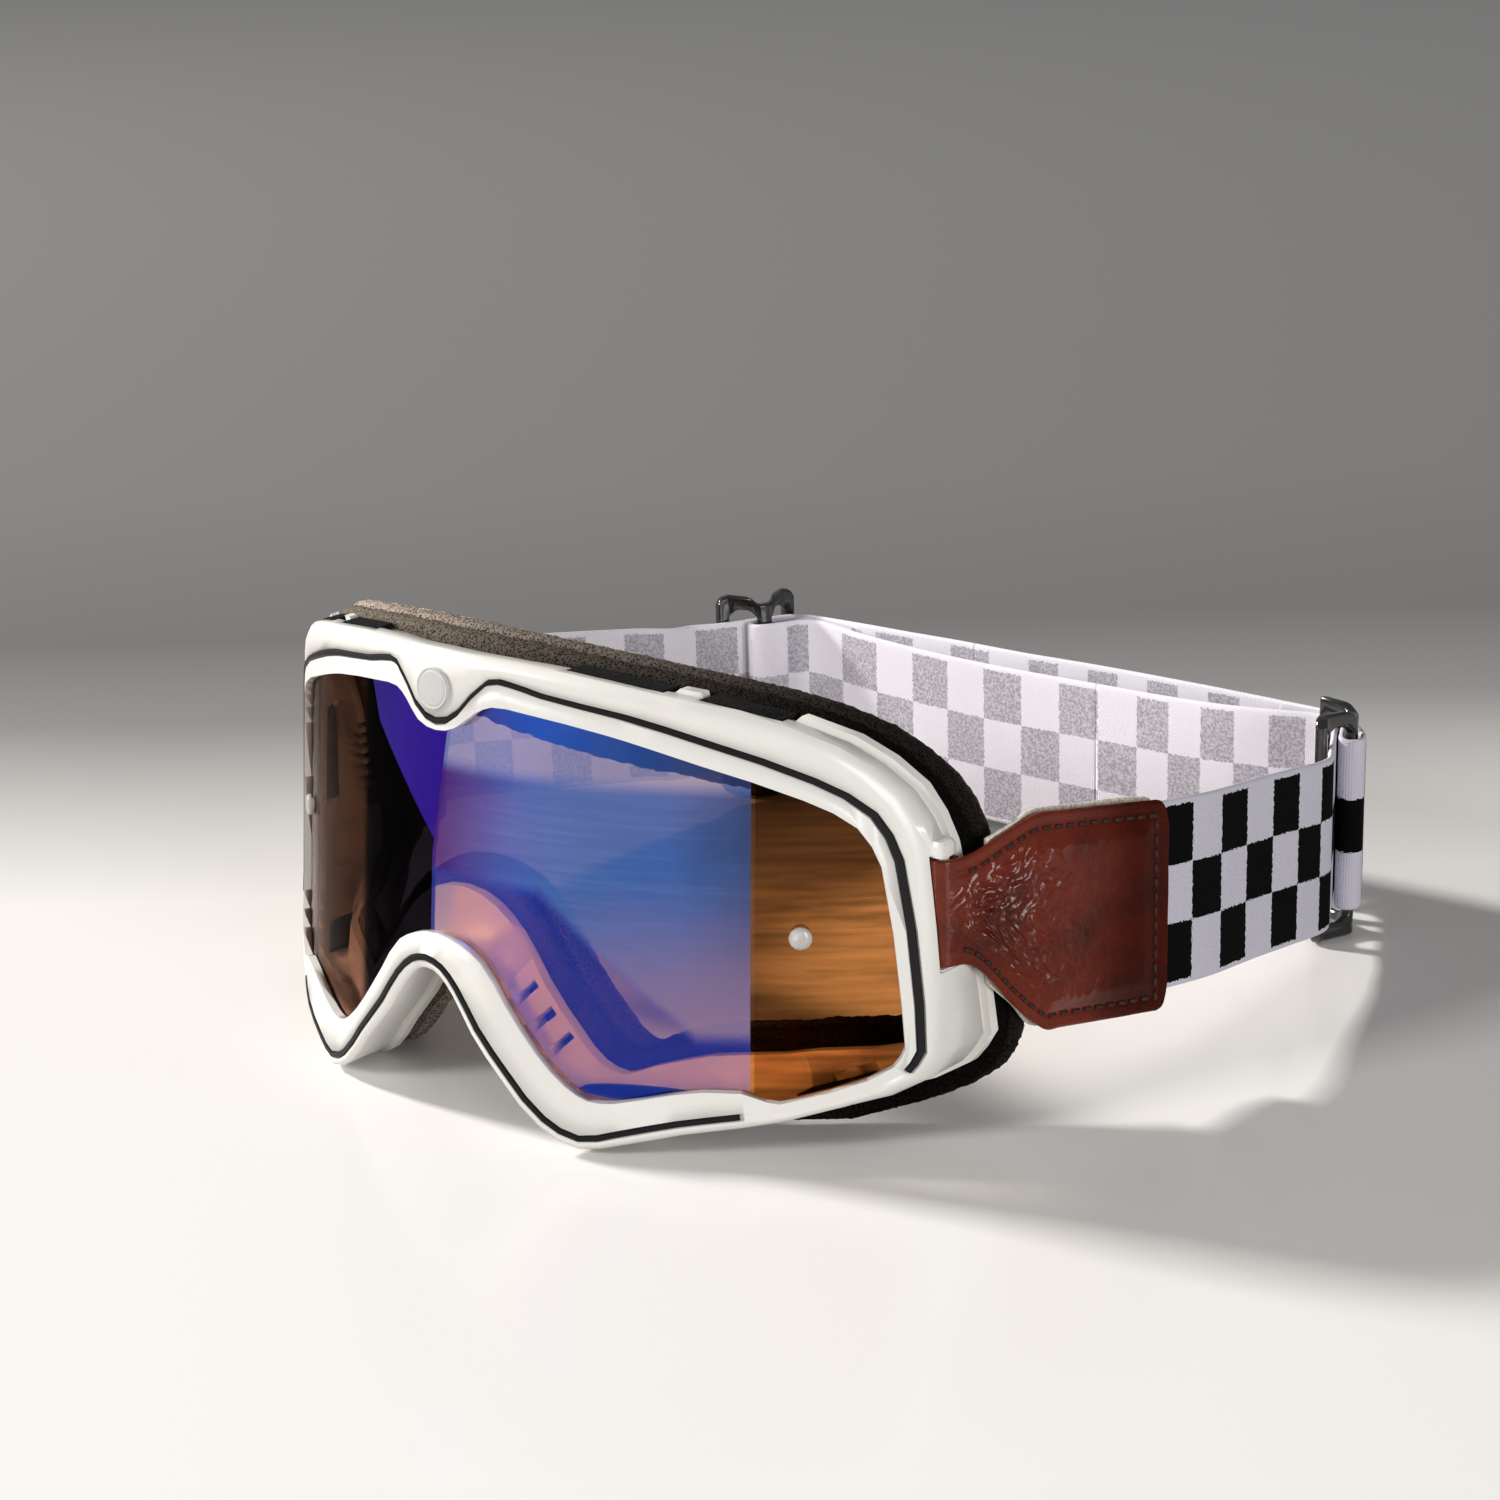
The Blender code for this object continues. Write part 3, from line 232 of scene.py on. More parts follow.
def ribbon_line(node, thickness):
    """Middle line of an upright CAD ribbon: x, y, low edge and high edge."""
    mesh = bmesh.new()
    mesh.from_mesh(frame["nodes"][node].data)
    bmesh.ops.remove_doubles(mesh, verts=mesh.verts, dist=MERGE)
    tops = {}
    for edge in mesh.edges:
        first, second = edge.verts
        if (first.co.xy - second.co.xy).length < MERGE:
            low, high = sorted((first, second), key=lambda vert: vert.co.z)
            tops[low] = high
    near = {low: [edge.other_vert(low) for edge in low.link_edges if edge.other_vert(low) in tops] for low in tops}
    left = min((low for low in tops if len(near[low]) == 2), key=lambda low: low.co.y)
    right = min(near[left], key=lambda vert: abs((vert.co - left.co).length - thickness))
    line, seen = [], set()
    while True:
        seen.update((left, right))
        middle = (left.co + right.co) / 2.0
        high = (tops[left].co.z + tops[right].co.z) / 2.0
        line.append((middle.x, middle.y, middle.z, high))
        ahead = list(dict.fromkeys(vert for vert in near[left] + near[right] if vert not in seen))
        if not ahead:
            break
        if len(ahead) == 1:
            # One lower edge is split, so the other side is found across the ply
            rest = [vert for vert in near[ahead[0]] if vert not in seen]
            ahead.append(min(rest, key=lambda vert: abs((vert.co - ahead[0].co).length - thickness)))
        left, right = ahead[:2]
    mesh.free()
    return line


def smooth_line(line, step):
    """The same line through smooth curves, with points a step apart."""
    points = np.array(line)
    gaps = np.linalg.norm(np.diff(points[:, :2], axis=0), axis=1)
    along = np.concatenate(([0.0], np.cumsum(gaps)))
    slopes = np.gradient(points, along, axis=0)
    dense = []
    for index, gap in enumerate(gaps):
        for part in np.linspace(0.0, 1.0, 8, endpoint=False):
            square, cube = part * part, part ** 3
            dense.append((2 * cube - 3 * square + 1) * points[index]
                         + (cube - 2 * square + part) * slopes[index] * gap
                         + (3 * square - 2 * cube) * points[index + 1]
                         + (cube - square) * slopes[index + 1] * gap)
    dense.append(points[-1])
    dense = np.array(dense)
    gaps = np.linalg.norm(np.diff(dense[:, :2], axis=0), axis=1)
    along = np.concatenate(([0.0], np.cumsum(gaps)))
    count = max(int(round(along[-1] / step)), 2)
    even = np.linspace(0.0, along[-1], count + 1)
    return np.stack([np.interp(even, along, dense[:, axis]) for axis in range(4)], axis=1), even


def across_steps(count, edge):
    """Shares of the width, closer together at both edges."""
    middle = np.linspace(edge, 1.0 - edge, count)
    return np.concatenate(([0.0, edge * 0.15, edge * 0.5], middle, [1.0 - edge * 0.5, 1.0 - edge * 0.15, 1.0]))


def band(name, line, along, ply, steps, edge, outward, shape=None):
    """A closed band of cloth or leather; shape lifts its outer face."""
    run = np.gradient(line[:, :2], axis=0)
    run /= np.linalg.norm(run, axis=1)[:, None]
    side = np.stack([run[:, 1], -run[:, 0]], axis=1) * outward
    across = list(across_steps(steps, edge))
    columns = across + across[::-1]
    width = len(columns)
    points, faces, uvs = [], [], []
    for index, (x, y, low, high) in enumerate(line):
        for column, share in enumerate(columns):
            outer = column < len(across)
            rim = min(share, 1.0 - share) / edge
            half = ply / 2.0 * (math.sqrt(max(1.0 - (1.0 - rim) ** 2, 0.0)) if rim < 1.0 else 1.0)
            height = low + (high - low) * share
            lift = shape(along[index], height) if shape and outer else 0.0
            offset = (half if outer else -half) + lift
            points.append((x + side[index, 0] * offset, y + side[index, 1] * offset, height))
    # The cloth map runs from 0 to 1 up the outer face and on to 2 down the inner one
    spots = across + [2.0 - share for share in across[::-1]] + [2.0]
    for index in range(len(line) - 1):
        for column in range(width):
            corners = ((index, column), (index, column + 1), (index + 1, column + 1), (index + 1, column))
            faces.append([row * width + place % width for row, place in corners])
            uvs.append([(along[row], spots[place]) for row, place in corners])
    for end in (0, len(line) - 1):
        for column in range(len(across) - 1):
            corners = (column, column + 1, width - 2 - column, width - 1 - column)
            faces.append([end * width + place for place in corners])
            uvs.append([(along[end], columns[place]) for place in corners])
    piece = mesh_piece(name, points, faces, uvs)
    mesh = bmesh.new()
    mesh.from_mesh(piece.data)
    bmesh.ops.remove_doubles(mesh, verts=mesh.verts, dist=MERGE)
    bmesh.ops.recalc_face_normals(mesh, faces=mesh.faces)
    mesh.to_mesh(piece.data)
    mesh.free()
    return piece


# Shader building

def tinted(colour, *shares):
    """A colour with its channels scaled, by one share or one each."""
    return tuple(min(channel * share, 1.0) for channel, share in zip(colour[:3], shares * 3))


def opaque(colour):
    return tuple(colour[:3]) + (1.0,)


GROUPS = {}


class Shader:
    """A small hand for laying out nodes in a material or a group."""

    def __init__(self, tree):
        self.tree = tree

    def node(self, kind, **settings):
        made = self.tree.nodes.new(kind)
        for key, value in settings.items():
            setattr(made, key, value)
        return made

    def put(self, socket, value):
        """A link or a value into a socket; None leaves it as it is."""
        if isinstance(value, bpy.types.NodeSocket):
            self.tree.links.new(value, socket)
        elif value is not None:
            socket.default_value = opaque(value) if socket.type == 'RGBA' else value

    def math(self, operation, first, second=None, third=None):
        made = self.node("ShaderNodeMath", operation=operation)
        for socket, value in zip(made.inputs, (first, second, third)):
            self.put(socket, value)
        return made.outputs[0]

    def linear(self, value, slope, offset):
        return self.math('MULTIPLY_ADD', value, slope, offset)

    def times(self, first, second):
        return self.math('MULTIPLY', first, second)

    def most(self, first, second):
        return self.math('MAXIMUM', first, second)

    def plus(self, first, second):
        return self.math('ADD', first, second)

    def divided(self, first, second):
        return self.math('DIVIDE', first, second)

    def less(self, first, second):
        return self.math('SUBTRACT', first, second)

    def mix(self, factor, first, second, blend='MIX'):
        made = self.node("ShaderNodeMix", data_type='RGBA', blend_type=blend)
        self.put(made.inputs[0], factor)
        self.put(made.inputs[6], first)
        self.put(made.inputs[7], second)
        return made.outputs[2]

    def ramp(self, value, stops):
        made = self.node("ShaderNodeValToRGB")
        self.put(made.inputs[0], value)
        elements = made.color_ramp.elements
        while len(elements) < len(stops):
            elements.new(0.5)
        for element, (place, colour) in zip(elements, stops):
            element.position = place
            element.color = opaque(colour)
        return made.outputs[0]

    def feed(self, made, **values):
        """Links and values into a node's sockets, by name."""
        for key, value in values.items():
            self.put(made.inputs[key.replace("_", " ")], value)
        return made

    def noise(self, vector, scale, detail=3.0, rough=0.5):
        made = self.node("ShaderNodeTexNoise")
        return self.feed(made, Vector=vector, Scale=scale, Detail=detail, Roughness=rough).outputs["Fac"]

    def scaled(self, vector, scale):
        return self.feed(self.node("ShaderNodeMapping"), Vector=vector, Scale=scale).outputs[0]

    def step(self, value, low, high):
        made = self.node("ShaderNodeMapRange", interpolation_type='SMOOTHSTEP')
        return self.feed(made, Value=value, From_Min=low, From_Max=high).outputs[0]

    def bump(self, height, strength, distance):
        made = self.node("ShaderNodeBump")
        return self.feed(made, Strength=strength, Distance=distance, Height=height).outputs[0]

    def coordinates(self, kind="Object"):
        return self.node("ShaderNodeTexCoord").outputs[kind]

    def seen(self):
        """1 for rays that show the surface or the sky, 0 for those that only light by it."""
        rays = self.node("ShaderNodeLightPath").outputs
        return self.most(rays["Is Camera Ray"], self.most(rays["Is Glossy Ray"], rays["Is Transmission Ray"]))

    def parts(self, vector):
        return self.feed(self.node("ShaderNodeSeparateXYZ"), Vector=vector).outputs

    def group(self, maker, **values):
        """A use of a node group, which its maker lays out the first time."""
        if maker not in GROUPS:
            GROUPS[maker] = maker()
        made = self.node("ShaderNodeGroup")
        made.node_tree = GROUPS[maker]
        return self.feed(made, **values)


def new_material(name, **plain):
    material = bpy.data.materials.new(name)
    material.use_nodes = True
    shader = Shader(material.node_tree)
    return material, shader, shader.feed(material.node_tree.nodes["Principled BSDF"], **plain)


def new_group(name, outputs, **inputs):
    """A node group. An input is a place, a colour or a number, as its default value is None, three numbers or one."""
    tree = bpy.data.node_groups.new(name, "ShaderNodeTree")
    for key, value in inputs.items():
        kind = "Vector" if value is None else "Color" if isinstance(value, tuple) else "Float"
        socket = tree.interface.new_socket(name=key, in_out='INPUT', socket_type="NodeSocket" + kind)
        if value is not None:
            socket.default_value = opaque(value) if kind == "Color" else value
    for key in outputs:
        kind = "Color" if key == "Color" else "Float"
        tree.interface.new_socket(name=key, in_out='OUTPUT', socket_type="NodeSocket" + kind)
    shader = Shader(tree)
    return tree, shader, shader.node("NodeGroupInput").outputs, shader.node("NodeGroupOutput")


def grain_group():
    """Two sizes of surface unevenness, used by plastic, rubber and leather."""
    tree, shader, given, out = new_group("surface grain", ("Height", "Mask"), Place=None, Fine=1500.0, Broad=60.0,
                                         Share=0.5)
    fine = shader.noise(given["Place"], given["Fine"], 2.0)
    broad = shader.noise(given["Place"], given["Broad"], 4.0)
    blend = shader.node("ShaderNodeMix", data_type='FLOAT')
    for index, value in ((0, given["Share"]), (2, fine), (3, broad)):
        shader.put(blend.inputs[index], value)
    shader.feed(out, Height=blend.outputs[0], Mask=broad)
    return tree


def weave_group():
    """Rib and pick of a tight woven band, from a cloth map in metres."""
    tree, shader, given, out = new_group("band weave", ("Height", "Shade"), Along=0.0, Across=0.0, Thread=THREAD)
    along, across = (shader.divided(given[key], given["Thread"]) for key in ("Along", "Across"))
    ribs, picks = (shader.math('ABSOLUTE', shader.math('SINE', shader.times(value, math.pi)))
                   for value in (along, shader.linear(along, 0.5, across)))
    height = shader.times(ribs, picks)
    # Shade is painted shade, darker where the weave lies low
    shader.feed(out, Height=height, Shade=shader.step(height, 0.0, 0.8))
    return tree


def speckle_group():
    """Open cells of foam and pile: dark pores between pale fibres."""
    tree, shader, given, out = new_group("fibre speckle", ("Color", "Height"), Place=None, Scale=1800.0,
                                         Dark=(0.01, 0.01, 0.01), Pale=(0.2, 0.16, 0.14), Bare=0.5)
    cells = shader.feed(shader.node("ShaderNodeTexVoronoi", feature='F1'), Vector=given["Place"],
                        Scale=given["Scale"])
    height = shader.times(cells.outputs["Distance"], shader.noise(given["Place"], given["Scale"], 2.0))
    mask = shader.times(shader.step(height, 0.06, 0.32), given["Bare"])
    shader.feed(out, Color=shader.mix(mask, given["Dark"], given["Pale"]), Height=height)
    return tree


def moulded_plastic(name, colour, roughness, bump=0.05, shift=0.03, **plain):
    """Moulded plastic: faint colour drift, uneven gloss and a fine skin."""
    material, shader, surface = new_material(name, **plain)
    grain = shader.group(grain_group, Place=shader.coordinates(), Share=0.35)
    mask = grain.outputs["Mask"]
    shader.feed(surface, Base_Color=shader.mix(mask, tinted(colour, 1.0 - shift), colour),
                Roughness=shader.linear(mask, 0.12, roughness - 0.06),
                Normal=shader.bump(grain.outputs["Height"], bump, 0.0002))
    return material


def foam_material(name, dark, pale, scale, bare, sheen, painted_right_shade=1.0):
    """Open cells, with painted shade that darkens the foam from its left end to its right end, as if lit from the
    left.
    """
    material, shader, surface = new_material(name, Roughness=0.95, Specular_IOR_Level=0.03, Sheen_Weight=sheen,
                                             Sheen_Roughness=0.6)
    place = shader.coordinates()
    speckle = shader.group(speckle_group, Place=place, Scale=scale, Dark=dark, Pale=pale, Bare=bare)
    x = shader.parts(place)[0]
    # Painted shade: the colour is scaled down towards the foam's right end
    painted_shade = shader.mix(shader.step(x, -0.075, 0.080), (1.0,) * 3, (painted_right_shade,) * 3)
    shader.feed(surface, Base_Color=shader.mix(1.0, speckle.outputs["Color"], painted_shade, 'MULTIPLY'),
                Normal=shader.bump(speckle.outputs["Height"], 0.8, 0.0006))
    return material


# Settings that a user would change

def colour_setting(name, description, *colour):
    return FloatVectorProperty(name=name, description=description, subtype='COLOR', size=4, min=0.0, max=1.0,
                               default=opaque(colour))


def length_setting(name, description, value, least=0.0):
    return FloatProperty(name=name, description=description, default=value, min=least, unit='LENGTH')


class FrameSettings(bpy.types.PropertyGroup):
    moulding: colour_setting("Moulding colour", "Colour of the frame shell", 0.88, 0.865, 0.82)
    stripe: colour_setting("Pinstripe colour", "Colour of the inlaid pinstripes", 0.005, 0.005, 0.005)
    edge_radius: length_setting("Edge radius", "Rounding of the posts' edges", 0.0002)


class LensSettings(bpy.types.PropertyGroup):
    amber: colour_setting("Amber tint", "Tint of the lens plate", 0.60, 0.24, 0.068)
    mirror: colour_setting("Mirror colour", "Main colour of the mirror coat", 0.06, 0.19, 0.62)
    mirror_body: FloatProperty(name="Coat strength", description="How much the strong part of the coat hides",
                               default=0.86, min=0.0, max=1.0, subtype='FACTOR')


class StrapSettings(bpy.types.PropertyGroup):
    check_length: length_setting("Check length", "Length of one check along the strap", 0.012, 0.002)
    rows: IntProperty(name="Check rows", description="Rows of checks across the strap", default=3, min=1)
    selvedge: length_setting("Selvedge", "Plain edge beside the checks", 0.0013)
    pale: colour_setting("Pale thread", "Colour of the pale thread", 0.72, 0.70, 0.80)
    dark: colour_setting("Dark thread", "Colour of the dark thread", 0.004, 0.004, 0.004)


class LeatherSettings(bpy.types.PropertyGroup):
    colour: colour_setting("Leather colour", "Colour of the polished leather", 0.066, 0.0058, 0.0012)
    stitch_inset: length_setting("Stitch inset", "Distance of the seam from the edge", 0.0031, 0.001)
    stitch_pitch: length_setting("Stitch pitch", "Distance from stitch to stitch", 0.0030, 0.001)


class FoamSettings(bpy.types.PropertyGroup):
    voxel: length_setting("Foam detail", "Size of the foam's surface detail", 0.00075, 0.0003)
    pile: length_setting("Pile height", "Unevenness of the fleece", 0.0003)


class GogglesSettings(bpy.types.PropertyGroup):
    frame: PointerProperty(type=FrameSettings, name="Frame")
    lens: PointerProperty(type=LensSettings, name="Lens")
    strap: PointerProperty(type=StrapSettings, name="Strap")
    leather: PointerProperty(type=LeatherSettings, name="Leather")
    foam: PointerProperty(type=FoamSettings, name="Foam")


# Frame shell, stripes, vents, posts and badge

class GOGGLES_OT_moulding(bpy.types.Operator):
    """Finish the frame shell and the pieces fixed in it"""
    bl_idname = "goggles.moulding"
    bl_label = "Moulding"

    def execute(self, context):
        values = context.scene.goggles.frame
        bone = moulded_plastic("ivory moulding", tuple(values.moulding), 0.34, Coat_Weight=0.18,
                               Coat_Roughness=0.14, Subsurface_Weight=0.08, Subsurface_Scale=0.002)
        dressed("frame_shell", "frame_moulding", bone, "ivory_plastic", 36.0)
        stripe = moulded_plastic("pinstripe black", tuple(values.stripe), 0.5, Specular_IOR_Level=0.2)
        for node in ("upper_pinstripe", "lower_pinstripe"):
            dressed(node, node + "_inlay", stripe, "stripe_black", 40.0, swell=0.00012)
        vent = foam_material("vent foam", (0.003, 0.003, 0.003), (0.022, 0.022, 0.022), 2200.0, 0.6, 0.02)
        for node in sorted(name for name in frame["nodes"] if "vent_foam" in name):
            dressed(node, node + "_mesh", vent, "vent_black", 30.0)

        clear, shader, surface = new_material("clear post", Roughness=0.08, Transmission_Weight=0.55,
                                              IOR=1.45, Coat_Weight=0.5)
        grain = shader.group(grain_group, Place=shader.coordinates(), Share=0.8)
        shader.feed(surface, Base_Color=shader.mix(grain.outputs["Mask"], (0.72, 0.70, 0.68), (0.95, 0.93, 0.90)))
        for side in ("left", "right"):
            dressed("tear_off_post_" + side, "post_turned_" + side, clear, "clear_plastic", 50.0,
                    bevel=(values.edge_radius,))
        return {'FINISHED'}


class GOGGLES_OT_badge(bpy.types.Operator):
    """Turn the plain disc on the brow"""
    bl_idname = "goggles.badge"
    bl_label = "Badge disc"

    def execute(self, context):
        low, high = (Vector(corner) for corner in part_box("badge_disc"))
        deselect()
        bpy.ops.mesh.primitive_cylinder_add(vertices=96, radius=(high.x - low.x) / 2.0, depth=BADGE_DEPTH,
                                            location=(low + high) / 2.0,
                                            rotation=(math.pi / 2.0 - math.atan(BROW_SLOPE), 0.0, 0.0))
        piece = context.object
        piece.name = "badge_face"
        bpy.ops.object.transform_apply()
        front = Vector((0.0, -1.0, BROW_SLOPE)).normalized()
        mesh = bmesh.new()
        mesh.from_mesh(piece.data)
        face = max(mesh.faces, key=lambda item: item.normal.dot(front))
        for inset, rise in BADGE_RINGS:
            bmesh.ops.inset_region(mesh, faces=[face], thickness=inset)
            bmesh.ops.translate(mesh, verts=list(face.verts), vec=front * rise)
        mesh.to_mesh(piece.data)
        mesh.free()
        round_off(piece, 0.00018)
        shade(piece, 40.0)
        grey = moulded_plastic("badge grey", (0.60, 0.60, 0.59), 0.40, 0.25, 0.12)
        finish_piece(piece, grey, "badge_grey", "frame", "badge_disc")
        return {'FINISHED'}


# Lens: an amber plate and the mirror coat on its front, with painted reflections and painted shade

def lens_zones():
    """Fields of the lens, from its place in metres: where the coat is strong, thin or missing. The coat's hard right
    edge, its upper band, the blades and the streaks are painted reflections; the dark field and the channel are
    painted shade.
    """
    fields = ("Mirror", "Right", "Blade", "Dark", "Band", "Nose", "Ghost", "Gap", "Streak")
    tree, shader, given, out = new_group("lens fields", fields, Place=None)
    x, _, z = shader.parts(given["Place"])[:3]

    def over(value):
        """Sharp mask of where a distance is above zero."""
        return shader.step(value, -0.0001, 0.0001)

    def both(first, second):
        return shader.times(first, second)

    def other(value):
        return shader.less(1.0, value)

    right = over(shader.less(x, shader.linear(z, *COAT_RIGHT)))
    past_left = over(shader.less(x, shader.most(shader.linear(z, *COAT_LEFT), COAT_LEFT_LEAST)))
    mirror = both(past_left, other(right))
    diagonal = over(shader.linear(x, BLADE_DIAGONAL[0], shader.less(z, BLADE_DIAGONAL[1])))
    steep = over(shader.linear(z, BLADE_STEEP[0], shader.less(x, BLADE_STEEP[1])))
    blade = both(both(diagonal, steep), other(past_left))
    # Painted shade: a near-black field at the left, standing in for the shade inside the goggles seen through the
    # lens
    dark = both(both(shader.step(x, *PAINTED_SHADE_START), other(past_left)), other(blade))
    ragged = shader.linear(shader.noise(given["Place"], 420.0, 2.0), 0.0016, -0.0008)
    band = both(over(shader.less(shader.plus(z, ragged), shader.linear(x, *BAND_LOW))), mirror)
    # The coat thins towards the nose and below the upper band
    arch = shader.math('MINIMUM', shader.most(shader.linear(x, *NOSE_LINE), NOSE_HEIGHTS[0]), NOSE_HEIGHTS[1])
    by_nose = shader.step(shader.less(arch, z), -0.002, 0.002)
    by_band = shader.step(z, *GHOST_HEIGHTS)
    # Painted shade: a dark oval on the plate, where the channel below the ramp shows through
    long_way, short_way = (shader.math('POWER', shader.math('ABSOLUTE', shader.linear(value, *line)), 2.0)
                           for value, line in ((x, PAINTED_CHANNEL_LONG), (z, PAINTED_CHANNEL_SHORT)))
    gap = shader.step(shader.less(1.0, shader.plus(long_way, short_way)), -0.05, 0.05)
    # Painted reflection: fine horizontal streaks
    painted_streaks = shader.noise(shader.scaled(given["Place"], (40.0, 40.0, 900.0)), 1.0, 5.0, 0.66)
    shader.feed(out, Mirror=mirror, Right=right, Blade=blade, Dark=dark, Band=band, Nose=both(by_nose, mirror),
                Ghost=both(by_band, mirror), Gap=gap, Streak=painted_streaks)
    return tree


class GOGGLES_OT_lens(bpy.types.Operator):
    """Finish the lens plate and lay its mirror coat"""
    bl_idname = "goggles.lens"
    bl_label = "Lens"

    def plate(self, values):
        amber, shader, surface = new_material("amber plate", Roughness=0.02, IOR=1.03, Transmission_Weight=1.0)
        place = shader.coordinates()
        field = shader.group(lens_zones, Place=place).outputs
        _, _, z = shader.parts(place)[:3]
        broad = shader.noise(shader.scaled(place, (10.0, 10.0, 90.0)), 1.0, 3.0, 0.5)
        tone = shader.linear(broad, 0.35, shader.times(field["Streak"], 0.65))
        # The right end: the amber tint with painted reflection streaks, darker towards the top
        amber_painted_streaks = shader.ramp(tone, ((0.38, tinted(values.amber, 0.50)), (0.58, tinted(values.amber, 1.10))))
        amber_painted_streaks = shader.mix(shader.step(z, 0.040, 0.084), amber_painted_streaks, (0.085, 0.034, 0.013))
        brown = shader.mix(broad, (0.17, 0.083, 0.055), (0.33, 0.18, 0.12))
        tint = shader.mix(field["Mirror"], brown, (0.62, 0.32, 0.20))
        tint = shader.mix(shader.most(field["Nose"], field["Ghost"]), tint, (1.0, 0.60, 0.22))
        # Painted shade in the channel and the dark field, the streaked right end, and the blades' painted reflection
        for name, colour in (("Gap", (0.01, 0.01, 0.02)), ("Right", amber_painted_streaks), ("Dark", (0.012, 0.009, 0.014)),
                             ("Blade", (0.025, 0.010, 0.08))):
            tint = shader.mix(field[name], tint, colour)
        # Most of the light falls through the plate
        shadow = shader.node("ShaderNodeLightPath").outputs["Is Shadow Ray"]
        shader.feed(surface, Base_Color=tint, Alpha=shader.linear(shadow, -0.75, 1.0))
        dressed("lens", "lens_plate", amber, "mirror_lens", 25.0, dissolve=0.2)

    def execute(self, context):
        values = context.scene.goggles.lens
        self.plate(values)
        coat = merged_copy("lens", "lens_mirror_coat", 0.2)
        mesh = bmesh.new()
        mesh.from_mesh(coat.data)
        rear = [face for face in mesh.faces if face.normal.y > -0.3]
        bmesh.ops.delete(mesh, geom=rear, context='FACES')
        for vert in mesh.verts:
            vert.co += vert.normal * 0.00004
        mesh.to_mesh(coat.data)
        mesh.free()
        coat.modifiers.new("film", 'SOLIDIFY').thickness = -0.00003
        apply_modifiers(coat)
        shade(coat, 25.0)
        film, shader, surface = new_material("mirror coat", Metallic=1.0)
        place = shader.coordinates()
        field = shader.group(lens_zones, Place=place).outputs
        x, _, z = shader.parts(place)[:3]
        cloud = shader.noise(place, 30.0, 3.0, 0.5)
        drift = shader.plus(shader.linear(x, 12.5, 0.12), shader.linear(cloud, 0.24, -0.12))
        blue = tuple(values.mirror)
        violet = tinted(blue, 1.2, 0.10, 0.45)
        mauve = tinted(blue, 1.5, 0.45, 0.70)
        slate = tinted(blue, 0.6, 0.42, 0.36)
        colour = shader.ramp(drift, ((0.10, violet), (0.22, mauve), (0.44, blue), (0.72, blue), (0.90, slate)))
        # Painted reflection: the coat is paler along the streaks
        pale = shader.mix(1.0, colour, (1.5, 1.25, 1.1), 'MULTIPLY')
        colour = shader.mix(shader.step(field["Streak"], 0.42, 0.72), colour, pale)
        strong = shader.ramp(drift, ((0.12, (0.035, 0.012, 0.20)), (0.42, (0.015, 0.11, 0.62)),
                                     (0.62, (0.015, 0.09, 0.42)), (0.88, (0.04, 0.055, 0.17))))
        low_down = shader.times(shader.step(z, 0.056, 0.024), shader.step(x, -0.010, 0.056))
        colour = shader.mix(low_down, colour, (0.38, 0.27, 0.50))
        # The upper band and the blades are painted reflections in the coat
        for name, layer in (("Nose", (0.028, 0.085, 0.75)), ("Ghost", (0.30, 0.42, 1.0)), ("Band", strong),
                            ("Blade", (0.050, 0.015, 0.50))):
            colour = shader.mix(field[name], colour, layer)
        body = values.mirror_body
        cover = shader.linear(field["Nose"], NOSE_COVER - body, body)
        cover = shader.linear(field["Ghost"], GHOST_COVER - body, cover)
        cover = shader.times(cover, field["Mirror"])
        for name, share in (("Band", BAND_COVER), ("Blade", BLADE_COVER)):
            cover = shader.most(cover, shader.times(field[name], share))
        # The film has a front and a back, so each takes its share of the cover
        through = shader.math('SQRT', shader.less(1.0, cover))
        shader.feed(surface, Base_Color=colour, Alpha=shader.less(1.0, through),
                    Roughness=shader.linear(field["Streak"], 0.10, 0.06))
        finish_piece(coat, film, "mirror_lens", "frame")
        return {'FINISHED'}


# Face foam

